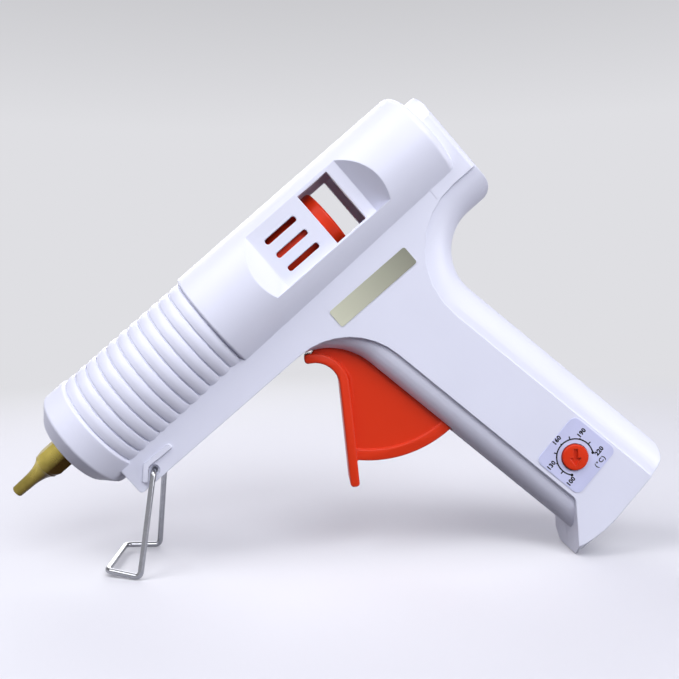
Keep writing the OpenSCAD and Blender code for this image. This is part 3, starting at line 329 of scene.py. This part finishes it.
def printed_film(name, colour):
    # Polycarbonate film printed from behind: even colour, smooth satin face with a slight orange peel.
    peel_size = 6 * MM
    material, tree, shader = new_material(name, {"IOR": 1.58})
    coords = add_node(tree, "ShaderNodeTexCoord").outputs["Object"]
    cloud, tint = cloudy(tree, coords, peel_size, shade(colour, 0.95), shade(colour, 1.02))
    rough = add_node(tree, "ShaderNodeMapRange", {"Value": cloud, "To Min": 0.26, "To Max": 0.38})
    bump = add_node(tree, "ShaderNodeBump", {"Height": cloud, "Strength": 0.04, "Distance": 0.1 * MM})
    feed(tree, shader, {
        "Base Color": tint, "Roughness": rough.outputs["Result"], "Normal": bump.outputs["Normal"]})
    return material


def screen_ink(name, colour):
    # Screen ink: a matt film that hardly shines and is slightly uneven in cover.
    cover_size = 0.5 * MM
    thin_cover = tuple(c + 0.02 for c in colour)
    material, tree, shader = new_material(name, {"Roughness": 0.6, "Specular IOR Level": 0.15})
    coords = add_node(tree, "ShaderNodeTexCoord").outputs["Object"]
    _, tint = cloudy(tree, coords, cover_size, colour, thin_cover)
    feed(tree, shader, {"Base Color": tint})
    return material


class FinishSettings(bpy.types.PropertyGroup):
    """Colours of the visible finishes"""
    housing: FloatVectorProperty(
        name="Housing", description="Colour of the moulded housing",
        subtype="COLOR", min=0, max=1, default=linear("#E5E7F5"))
    controls: FloatVectorProperty(
        name="Controls", description="Colour of trigger, carriage and dial",
        subtype="COLOR", min=0, max=1, default=linear("#DA330B"))
    brass: FloatVectorProperty(
        name="Brass", description="Colour of the nozzle",
        subtype="COLOR", min=0, max=1, default=linear("#DCC868"))
    wire: FloatVectorProperty(
        name="Wire", description="Colour of the stand's plating",
        subtype="COLOR", min=0, max=1, default=linear("#A2A3A8"))
    scale_plate: FloatVectorProperty(
        name="Scale plate", description="Colour of the film under the dial",
        subtype="COLOR", min=0, max=1, default=linear("#CDD0EF"))
    side_plate: FloatVectorProperty(
        name="Side plate", description="Colour of the blank foil plate",
        subtype="COLOR", min=0, max=1, default=linear("#CFD0BA"))
    ink: FloatVectorProperty(
        name="Ink", description="Colour of the printed scale",
        subtype="COLOR", min=0, max=1, default=linear("#0C0C12"))


class ScaleSettings(bpy.types.PropertyGroup):
    """Sizes of the scale printed round the dial"""
    arc_radius: FloatProperty(
        name="Arc radius", description="Radius of the printed arc", unit="LENGTH", default=6.25 * MM)
    line: FloatProperty(
        name="Line", description="Width of the printed lines", unit="LENGTH", default=0.48 * MM)
    tick: FloatProperty(
        name="Tick", description="Length of the ticks between the numbers", unit="LENGTH", default=1.1 * MM)
    digit: FloatProperty(
        name="Digit", description="Height of the numbers", unit="LENGTH", default=1.55 * MM)
    number_radius: FloatProperty(
        name="Number radius", description="Distance of the numbers from the dial's centre",
        unit="LENGTH", default=8.5 * MM)
    first_angle: FloatProperty(
        name="First angle", description="Place of the first number",
        subtype="ANGLE", default=math.radians(211))
    sweep: FloatProperty(
        name="Sweep", description="Angle from the first number to the last",
        subtype="ANGLE", default=math.radians(248))
    first_value: IntProperty(
        name="First value", description="Lowest temperature on the scale", default=100)
    step_value: IntProperty(
        name="Step", description="Step between the numbers", default=30)


class WireSettings(bpy.types.PropertyGroup):
    """Sizes of the bent and wound wires, and of the rounded edges"""
    stand_radius: FloatProperty(
        name="Stand wire", description="Radius of the stand's wire", unit="LENGTH", default=1.0 * MM)
    spring_radius: FloatProperty(
        name="Spring wire", description="Radius of the return spring's wire",
        unit="LENGTH", default=0.4 * MM)
    valve_radius: FloatProperty(
        name="Valve wire", description="Radius of the valve spring's wire",
        unit="LENGTH", default=0.3 * MM)
    edge_round: FloatProperty(
        name="Edge round", description="Round on the edges of trigger and dial",
        unit="LENGTH", default=0.55 * MM)


class StageSettings(bpy.types.PropertyGroup):
    """Camera, lamps and floor"""
    lens: FloatProperty(
        name="Lens", description="Focal length of the camera in millimetres", default=43.866)
    key_power: FloatProperty(
        name="Key", description="Power of the lamp above on the left", subtype="POWER", default=6.5)
    fill_power: FloatProperty(
        name="Fill", description="Power of the lamp in front", subtype="POWER", default=12.0)
    side_power: FloatProperty(
        name="Side", description="Power of the lamp on the right", subtype="POWER", default=3.5)
    back_power: FloatProperty(
        name="Back", description="Power of the lamp behind", subtype="POWER", default=8.0)
    floor: FloatVectorProperty(
        name="Floor", description="Colour of the floor",
        subtype="COLOR", min=0, max=1, default=linear("#DCDCE0"))
    backdrop: FloatVectorProperty(
        name="Backdrop", description="Colour of the surroundings",
        subtype="COLOR", min=0, max=1, default=linear("#DFDFE3"))
    ambient: FloatVectorProperty(
        name="Ambient", description="Light from all round",
        subtype="COLOR", min=0, max=1, default=(0.16, 0.155, 0.22))


def coat(node, material):
    """Gives a CAD node its material."""
    target = frame["nodes"][node]
    if not target.material_slots:
        target.data.materials.append(material)
    for slot in target.material_slots:
        slot.material = material


def add_piece(name, mesh, material, body, stands_for=()):
    """Adds a finished mesh as a piece that rides on a body, unless none is given."""
    mesh.materials.append(material)
    piece = bpy.data.objects.new(name, mesh)
    bpy.context.scene.collection.objects.link(piece)
    if body:
        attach(piece, body)
    if stands_for:
        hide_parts(*stands_for)
    return piece


def mesh_of(bm, name, sharp=30):
    """The finished mesh, shaded smooth apart from edges sharper than an angle in degrees."""
    mesh = bpy.data.meshes.new(name)
    bm.to_mesh(mesh)
    bm.free()
    for key in ("custom_normal", "sharp_face"):
        if mesh.attributes.get(key):
            mesh.attributes.remove(mesh.attributes[key])
    mesh.polygons.foreach_set("use_smooth", [True] * len(mesh.polygons))
    mesh.set_sharp_from_angle(angle=math.radians(sharp))
    return mesh


def welded_copy(node):
    """A copy of a CAD node's mesh with its vertices merged."""
    bm = bmesh.new()
    bm.from_mesh(frame["nodes"][node].data)
    bmesh.ops.remove_doubles(bm, verts=bm.verts, dist=WELD)
    return bm


def rounded_copy(node, is_chosen, width):
    """A merged copy of a CAD node's mesh, with chosen sharp edges rounded."""
    flat = math.radians(0.5)
    sharp = math.radians(50)
    bm = welded_copy(node)
    bmesh.ops.dissolve_limit(bm, angle_limit=flat, verts=bm.verts, edges=bm.edges)
    chosen = [edge for edge in bm.edges
              if len(edge.link_faces) == 2 and edge.calc_face_angle(0) > sharp and is_chosen(edge)]
    bmesh.ops.bevel(bm, geom=chosen, offset=width, offset_type="OFFSET", segments=3, profile=0.5,
                    affect="EDGES", material=-1, clamp_overlap=True)
    return bm


def wire_mesh(name, points, radius):
    """A round wire along points, as a closed mesh."""
    curve = bpy.data.curves.new(name, "CURVE")
    curve.dimensions = "3D"
    curve.bevel_depth = radius
    curve.bevel_resolution = 4
    curve.use_fill_caps = True
    spline = curve.splines.new("POLY")
    spline.points.add(len(points) - 1)
    for place, point in zip(spline.points, points):
        place.co = (*point, 1)
    holder = bpy.data.objects.new(name, curve)
    bpy.context.scene.collection.objects.link(holder)
    bpy.context.view_layer.update()
    bm = bmesh.new()
    bm.from_mesh(holder.to_mesh())
    holder.to_mesh_clear()
    bpy.data.objects.remove(holder)
    bmesh.ops.remove_doubles(bm, verts=bm.verts, dist=0.1 * WELD)
    bmesh.ops.recalc_face_normals(bm, faces=bm.faces)
    return mesh_of(bm, name, sharp=60)


def eased(points, ease, steps):
    """Path corners eased by a parabola of the given tangent length."""
    out = [points[0]]
    for before, corner, after in zip(points, points[1:], points[2:]):
        start = corner + (before - corner).normalized() * ease
        end = corner + (after - corner).normalized() * ease
        for step in range(steps + 1):
            u = step / steps
            out.append(start * (1 - u) ** 2 + corner * (2 * u * (1 - u)) + end * u ** 2)
    out.append(points[-1])
    return out


class GLUE_OT_stage(bpy.types.Operator):
    """Camera at the photograph's angle, soft lamps, pale surroundings and floor"""
    bl_idname = "glue.stage"
    bl_label = "Stage"

    def execute(self, context):
        scene = context.scene
        scene.view_settings.view_transform = "Standard"
        self.place_camera(scene)
        self.place_lamps(scene)
        self.surround(scene)
        self.lay_floor(scene)
        return {"FINISHED"}

    def place_camera(self, scene):
        data = bpy.data.cameras.new("camera")
        data.lens = scene.glue_stage.lens
        data.sensor_width = 36
        data.sensor_fit = "HORIZONTAL"
        data.clip_start = 0.01
        camera = bpy.data.objects.new("camera", data)
        camera.location = CAMERA_PLACE
        camera.rotation_euler = [math.radians(angle) for angle in CAMERA_TURN]
        scene.collection.objects.link(camera)
        scene.camera = camera

    def place_lamps(self, scene):
        stage = scene.glue_stage
        # Name, place and size in metres, power and colour
        lamps = (("key_lamp", (-0.55, -0.35, 0.85), 0.7, stage.key_power, (0.98, 0.98, 1.0)),
                 ("fill_lamp", (0.3, -0.95, 0.85), 0.8, stage.fill_power, (0.95, 0.965, 1.0)),
                 ("side_lamp", (0.9, -0.36, 0.16), 0.4, stage.side_power, (0.97, 0.97, 1.0)),
                 ("back_lamp", (-0.15, 1.0, 0.5), 0.9, stage.back_power, (1.0, 1.0, 1.0)))
        for name, place, size, power, colour in lamps:
            light = bpy.data.lights.new(name, "AREA")
            light.size = size
            light.energy = power
            light.color = colour
            lamp = bpy.data.objects.new(name, light)
            lamp.location = place
            lamp.rotation_euler = (LAMP_TARGET - lamp.location).to_track_quat("-Z", "Y").to_euler()
            scene.collection.objects.link(lamp)

    def surround(self, scene):
        # Pale backdrop that darkens overhead, so that bright metal has something dark to mirror
        backdrop = scene.glue_stage.backdrop
        overhead = shade(backdrop, 0.25)
        pale_below = 0.2
        dark_above = 0.75
        world = bpy.data.worlds.new("pale_studio")
        world.use_nodes = True
        scene.world = world
        tree = world.node_tree
        way = add_node(tree, "ShaderNodeTexCoord").outputs["Generated"]
        height = add_node(tree, "ShaderNodeSeparateXYZ", {"Vector": way}).outputs["Z"]
        sky = add_node(tree, "ShaderNodeValToRGB", {
            "Fac": height}, ((pale_below, backdrop), (dark_above, overhead)))
        seen = add_node(tree, "ShaderNodeMix", {
            "Factor": self.shown(tree), MIX_A: rgba(scene.glue_stage.ambient), MIX_B: sky.outputs["Color"]},
            data_type="RGBA")
        feed(tree, tree.nodes["Background"], {"Color": seen.outputs[MIX_OUT]})

    def lay_floor(self, scene):
        # Matt paper: pale where it is seen, darker in the light that it throws back on the object,
        # and running out into the backdrop's colour away from the object
        stage = scene.glue_stage
        thrown_back = (0.04, 0.034, 0.045)
        patch_size = 0.3
        fade_start = 0.18
        fade_end = 0.75
        half_width = 4.0
        paper, tree, shader = new_material("matt_paper", {"Roughness": 0.9})
        shown = self.shown(tree)
        coords = add_node(tree, "ShaderNodeTexCoord").outputs["Object"]
        _, tint = cloudy(tree, coords, patch_size, shade(stage.floor, 0.985), stage.floor)
        seen = add_node(tree, "ShaderNodeMix", {
            "Factor": shown, MIX_A: rgba(thrown_back), MIX_B: tint}, data_type="RGBA")
        feed(tree, shader, {"Base Color": seen.outputs[MIX_OUT]})
        reach = add_node(tree, "ShaderNodeVectorMath", {0: coords}, operation="LENGTH").outputs["Value"]
        fade = add_node(tree, "ShaderNodeMapRange", {
            "Value": reach, "From Min": fade_start, "From Max": fade_end},
            interpolation_type="SMOOTHSTEP").outputs["Result"]
        share = add_node(tree, "ShaderNodeMath", {0: fade, 1: shown}, operation="MULTIPLY").outputs["Value"]
        glow = add_node(tree, "ShaderNodeEmission", {"Color": rgba(stage.backdrop)}).outputs["Emission"]
        both = add_node(tree, "ShaderNodeMixShader", {"Fac": share, 1: shader.outputs["BSDF"], 2: glow})
        feed(tree, tree.nodes["Material Output"], {"Surface": both.outputs["Shader"]})
        bm = bmesh.new()
        bmesh.ops.create_grid(bm, x_segments=8, y_segments=8, size=half_width)
        mesh = mesh_of(bm, "floor")
        mesh.materials.append(paper)
        floor = bpy.data.objects.new("floor", mesh)
        scene.collection.objects.link(floor)

    def shown(self, tree):
        """1 for what the camera sees, straight, mirrored or through glass, and 0 for scattered light."""
        rays = add_node(tree, "ShaderNodeLightPath").outputs
        direct = add_node(tree, "ShaderNodeMath", {
            0: rays["Is Camera Ray"], 1: rays["Is Glossy Ray"]}, operation="MAXIMUM").outputs["Value"]
        return add_node(tree, "ShaderNodeMath", {
            0: direct, 1: rays["Is Transmission Ray"]}, operation="MAXIMUM").outputs["Value"]


class GLUE_OT_housing(bpy.types.Operator):
    """Moulded halves, the stick guide in the rear wall and the plates on the side"""
    bl_idname = "glue.housing"
    bl_label = "Housing"

    def execute(self, context):
        colours = context.scene.glue_finish
        white = moulded_abs("white_moulded_abs", colours.housing, gloss=0.42)
        coat("stick_guide", white)
        for node in ("shell_left", "shell_right"):
            name = node + "_moulding"
            mesh = mesh_of(welded_copy(node), name, sharp=28)
            piece = add_piece(name, mesh, white, "housing", (node,))
            even = piece.modifiers.new("even_shading", "WEIGHTED_NORMAL")
            even.keep_sharp = True
        coat("dial_plate", printed_film("lavender_polycarbonate_film", colours.scale_plate))
        coat("name_plate", champagne_foil("champagne_anodised_foil", colours.side_plate))
        return {"FINISHED"}


class GLUE_OT_controls(bpy.types.Operator):
    """Orange-red trigger, feed carriage and dial"""
    bl_idname = "glue.controls"
    bl_label = "Controls"

    def execute(self, context):
        colour = context.scene.glue_finish.controls
        edge_round = context.scene.glue_wire.edge_round
        orange = moulded_abs("orange_moulded_abs", colour, gloss=0.38, sheen=0.25)
        coat("feed_carriage", orange)

        past_web = 5.9 * MM

        def pad_or_rim(edge):
            return all(abs(vert.co.y) > past_web for vert in edge.verts)
        bm = rounded_copy("trigger", pad_or_rim, edge_round)
        self.fill_crook(bm)
        mesh = mesh_of(bm, "trigger_moulding")
        add_piece("trigger_moulding", mesh, orange, "trigger", ("trigger",))

        # The dial's rim is made of short edges, its arrow of longer ones
        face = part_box("dial")[0].y
        on_face = 0.05 * MM
        rim_edge = 1.2 * MM

        def dial_rim(edge):
            flush = all(abs(vert.co.y - face) < on_face for vert in edge.verts)
            return flush and edge.calc_length() < rim_edge
        bm = rounded_copy("dial", dial_rim, edge_round * 0.5)
        add_piece("dial_knob", mesh_of(bm, "dial_knob"), orange, "dial", ("dial",))
        return {"FINISHED"}

    def fill_crook(self, bm):
        """Closes the crook between the finger pad's bend and the web."""
        ring = [bm.verts.new(gun(PIVOT_GUN.x + x, -CROOK_HALF, PIVOT_GUN.z + z)) for x, z in CROOK]
        face = bm.faces.new(ring)
        grown = bmesh.ops.extrude_face_region(bm, geom=[face])["geom"]
        moved = [part for part in grown if isinstance(part, bmesh.types.BMVert)]
        bmesh.ops.translate(bm, verts=moved, vec=ACROSS * 2 * CROOK_HALF * MM)
        bmesh.ops.recalc_face_normals(bm, faces=bm.faces)


class GLUE_OT_nozzle(bpy.types.Operator):
    """Turned brass nozzle"""
    bl_idname = "glue.nozzle"
    bl_label = "Nozzle"

    def execute(self, context):
        coat("nozzle", turned_brass("turned_brass", context.scene.glue_finish.brass))
        return {"FINISHED"}


class GLUE_OT_stand(bpy.types.Operator):
    """Stand bent from one bright plated wire"""
    bl_idname = "glue.stand"
    bl_label = "Stand"

    def execute(self, context):
        scene = context.scene
        leg = math.radians(LEG_ANGLE)
        corner = STAND_HINGE - LEG_LEN * Vector((math.cos(leg), 0, math.sin(leg)))
        front = corner + FOOT_LEN * Vector((-math.sin(leg), 0, math.cos(leg)))
        half = list(zip((STAND_HINGE, STAND_HINGE, corner, front), STAND_HALVES))
        near = [gun(point.x, -y, point.z) for point, y in half]
        far = [gun(point.x, y, point.z) for point, y in reversed(half)]
        path = eased(near + far, STAND_BEND * MM, steps=10)
        mesh = wire_mesh("stand_wire", path, scene.glue_wire.stand_radius)
        colour = scene.glue_finish.wire
        plated = plain_metal("nickel_plated_wire", colour, bright=0.1, dull=0.2, grit=1.2 * MM)
        add_piece("stand_wire", mesh, plated, "stand", ("stand",))
        return {"FINISHED"}


class GLUE_OT_scale(bpy.types.Operator):
    """Arc, ticks, numbers and unit printed round the dial"""
    bl_idname = "glue.scale"
    bl_label = "Printed scale"

    def execute(self, context):
        scale = context.scene.glue_scale
        ink = screen_ink("black_screen_ink", context.scene.glue_finish.ink)
        numbers = 5
        film = 0.02 * MM
        unit_spot = Vector((4.2 * MM, -7.7 * MM, 0))

        bm = bmesh.new()
        self.draw_arc(bm, scale)
        self.draw_ticks(bm, scale, 2 * numbers - 1)
        for index in range(numbers):
            angle = scale.first_angle - scale.sweep * index / (numbers - 1)
            spot = Vector((math.cos(angle), math.sin(angle), 0)) * scale.number_radius
            self.letter(bm, str(scale.first_value + index * scale.step_value), scale.digit, spot)
        self.letter(bm, "(°C)", scale.digit, unit_spot, bold=0.045, spread=1.25)
        for vert in bm.verts:
            vert.co.z = 0
        bmesh.ops.solidify(bm, geom=bm.faces[:], thickness=film)
        bmesh.ops.transform(bm, matrix=self.plate_place(), verts=bm.verts)
        bmesh.ops.recalc_face_normals(bm, faces=bm.faces)
        add_piece("dial_scale_print", mesh_of(bm, "dial_scale_print"), ink, "housing")
        return {"FINISHED"}

    def plate_place(self):
        """Place of the scale: centred on the dial, along the handle and just above the plate's face."""
        lift = 0.27 * MM
        lean = math.radians(HANDLE_LEAN)
        slope = Matrix.Rotation(-math.atan((PANEL_REAR - PANEL_FRONT) / BODY_LEN), 3, UP)
        right = slope @ (BACK * math.cos(lean) + UP * math.sin(lean))
        top = slope @ (UP * math.cos(lean) - BACK * math.sin(lean))
        out = right.cross(top).normalized()
        place = Matrix((right, top, out)).transposed().to_4x4()
        place.translation = Vector(joints["dial_turn"]["pos_m"]) + out * lift
        return place

    def draw_arc(self, bm, scale):
        """An arc with a round dot at each end."""
        last_angle = scale.first_angle - scale.sweep
        rim = [bm.verts.new((radius * math.cos(last_angle), radius * math.sin(last_angle), 0))
               for radius in (scale.arc_radius - scale.line / 2, scale.arc_radius + scale.line / 2)]
        start = bm.edges.new(rim)
        bmesh.ops.spin(bm, geom=[start, *rim], cent=(0, 0, 0), axis=(0, 0, 1), angle=scale.sweep, steps=60,
                       use_merge=False)
        for angle in (scale.first_angle, last_angle):
            spot = Matrix.Rotation(angle, 4, "Z") @ Matrix.Translation((scale.arc_radius, 0, 0))
            bmesh.ops.create_circle(bm, cap_ends=True, segments=16, radius=scale.line * 1.05, matrix=spot)

    def draw_ticks(self, bm, scale, count):
        """Ticks out from the arc: short ones at the numbers, long ones between them."""
        for index in range(count):
            angle = scale.first_angle - scale.sweep * index / (count - 1)
            length = scale.tick if index % 2 else scale.tick * 0.45
            middle = scale.arc_radius + length / 2
            spot = Matrix.Rotation(angle, 4, "Z") @ Matrix.Translation((middle, 0, 0))
            size = Matrix.Diagonal((length, scale.line * 0.9, 1, 1))
            bmesh.ops.create_grid(bm, x_segments=1, y_segments=1, size=0.5, matrix=spot @ size)

    def letter(self, bm, words, height, spot, bold=0.07, spread=1.08):
        """Words centred on a spot: bold is a share of their height, spread the spacing of letters."""
        size_per_height = 1.38
        curve = bpy.data.curves.new("print", "FONT")
        curve.body = words
        curve.size = height * size_per_height
        curve.align_x = "CENTER"
        curve.align_y = "CENTER"
        curve.resolution_u = 3
        curve.offset = height * bold
        curve.space_character = spread
        holder = bpy.data.objects.new("print", curve)
        bpy.context.scene.collection.objects.link(holder)
        bpy.context.view_layer.update()
        mesh = holder.to_mesh()
        mesh.transform(Matrix.Translation(spot))
        bm.from_mesh(mesh)
        holder.to_mesh_clear()
        bpy.data.objects.remove(holder)


class GLUE_OT_springs(bpy.types.Operator):
    """Wound return spring and valve spring"""
    bl_idname = "glue.springs"
    bl_label = "Springs"

    def execute(self, context):
        wire = context.scene.glue_wire
        steel = plain_metal("spring_steel", linear("#B9BCC2"), bright=0.22, dull=0.36, grit=0.8 * MM)
        self.wind_return(steel, wire.spring_radius)
        self.wind_valve(steel, wire.valve_radius)
        return {"FINISHED"}

    def wind_return(self, steel, wire_radius):
        """Tension spring from the trigger's tail to its post, with a hook at each end."""
        hooked = PIVOT_GUN + TAIL_END
        post = PIVOT_GUN + SPRING_POST
        run = post - hooked
        length = run.length
        line = run.normalized()
        side = Vector((line.z, 0, -line.x))
        coil = self.coil(radius=2.2, height=length - 2 * SPRING_LEAD, turns=12)
        path = self.hook(TAIL_HOOK)
        path.append(Vector((0, 0, SPRING_NECK)))
        path += [point + Vector((0, 0, SPRING_LEAD)) for point in coil]
        path.append(Vector((0, 0, length - SPRING_NECK)))
        path += [Vector((point.x, 0, length - point.z)) for point in reversed(self.hook(POST_HOOK))]
        placed = [hooked + side * point.x + ACROSS * point.y + line * point.z for point in path]
        mesh = wire_mesh("return_spring_wire", [gun(*point) for point in placed], wire_radius)
        piece = add_piece("return_spring_wire", mesh, steel, None, ("return_spring",))
        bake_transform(piece)

    def wind_valve(self, steel, wire_radius):
        """Compression spring behind the valve ball, along the feed line."""
        start = -0.55
        coil = self.coil(radius=1.85, height=15.8, turns=6)
        path = [gun(start + point.z, point.x, FEED_RISE + point.y) for point in coil]
        mesh = wire_mesh("valve_spring_wire", path, wire_radius)
        add_piece("valve_spring_wire", mesh, steel, "housing", ("nozzle_spring",))

    def coil(self, radius, height, turns):
        """Points of a helix."""
        per_turn = 24
        steps = turns * per_turn
        points = []
        for step in range(steps + 1):
            angle = math.tau * step / per_turn
            rise = height * step / steps
            points.append(Vector((radius * math.cos(angle), radius * math.sin(angle), rise)))
        return points

    def hook(self, radius):
        """Points of an open hook round the end of the spring."""
        turn = [math.radians(angle) for angle in range(300, 50, -15)]
        return [Vector((radius * math.sin(angle), 0, radius * math.cos(angle))) for angle in turn]


class GLUE_OT_inner_works(bpy.types.Operator):
    """Chamber, heater, bushings, sleeve, pins, board, gland and screws"""
    bl_idname = "glue.inner_works"
    bl_label = "Inner works"

    def execute(self, context):
        zinc = plain_metal("zinc_plated_steel", linear("#C3C7CC"), bright=0.22, dull=0.4, grit=1.0 * MM)
        cast = plain_metal("die_cast_aluminium", linear("#C8CACD"), bright=0.35, dull=0.52, grit=0.7 * MM)
        phenolic = flecked_filler(
            "brown_phenolic", linear("#4A3426"), linear("#2E2018"), size=0.5 * MM, rough=0.5)
        mica = flecked_filler(
            "mica_sheet", linear("#B4A98E"), linear("#8C8068"), size=1.2 * MM, rough=0.35)
        silicone = flecked_filler(
            "silicone_rubber", linear("#D9D3C6"), linear("#CFC8B8"), size=0.6 * MM, rough=0.6)
        board = solder_mask("green_solder_mask", mask=linear("#1C5A36"), track=linear("#3F8A55"))
        rubber = flecked_filler(
            "black_rubber", linear("#1B1B1E"), linear("#262629"), size=0.5 * MM, rough=0.62)
        finishes = {
            zinc: ("shell_screws", "nozzle_ball", "heater_clip", "sleeve_clip", "drive_pin", "stick_jaw",
                   "jaw_pin", "trigger_pin", "potentiometer"),
            cast: ("melt_chamber", "dial_shaft"),
            phenolic: ("nose_bushing", "rear_bushing", "heater"),
            mica: ("heat_shield",),
            silicone: ("inlet_sleeve",),
            board: ("control_board",),
            rubber: ("cord_gland",),
        }
        for material, nodes in finishes.items():
            for node in nodes:
                coat(node, material)
        return {"FINISHED"}


class GLUE_PT_pieces(bpy.types.Panel):
    """Lists the pieces and their settings"""
    bl_idname = "GLUE_PT_pieces"
    bl_label = "Glue gun"
    bl_space_type = "VIEW_3D"
    bl_region_type = "UI"
    bl_category = "Glue gun"

    def draw(self, context):
        for operator in OPERATORS:
            self.layout.operator(operator.bl_idname)
        for name in GROUPS:
            group = getattr(context.scene, name)
            box = self.layout.box()
            for key in group.__annotations__:
                box.prop(group, key)


OPERATORS = (GLUE_OT_stage, GLUE_OT_housing, GLUE_OT_controls, GLUE_OT_nozzle, GLUE_OT_stand, GLUE_OT_scale,
             GLUE_OT_springs, GLUE_OT_inner_works)
GROUPS = {"glue_finish": FinishSettings, "glue_scale": ScaleSettings, "glue_wire": WireSettings,
          "glue_stage": StageSettings}
CLASSES = (*GROUPS.values(), *OPERATORS, GLUE_PT_pieces)


def register():
    for cls in CLASSES:
        bpy.utils.register_class(cls)
    for name, cls in GROUPS.items():
        setattr(bpy.types.Scene, name, PointerProperty(type=cls))


def unregister():
    for name in GROUPS:
        delattr(bpy.types.Scene, name)
    for cls in reversed(CLASSES):
        bpy.utils.unregister_class(cls)


def main():
    register()
    bpy.ops.glue.stage()
    bpy.ops.glue.housing()
    bpy.ops.glue.controls()
    bpy.ops.glue.nozzle()
    bpy.ops.glue.stand()
    bpy.ops.glue.scale()
    bpy.ops.glue.springs()
    bpy.ops.glue.inner_works()


if __name__ == "__main__":
    main()
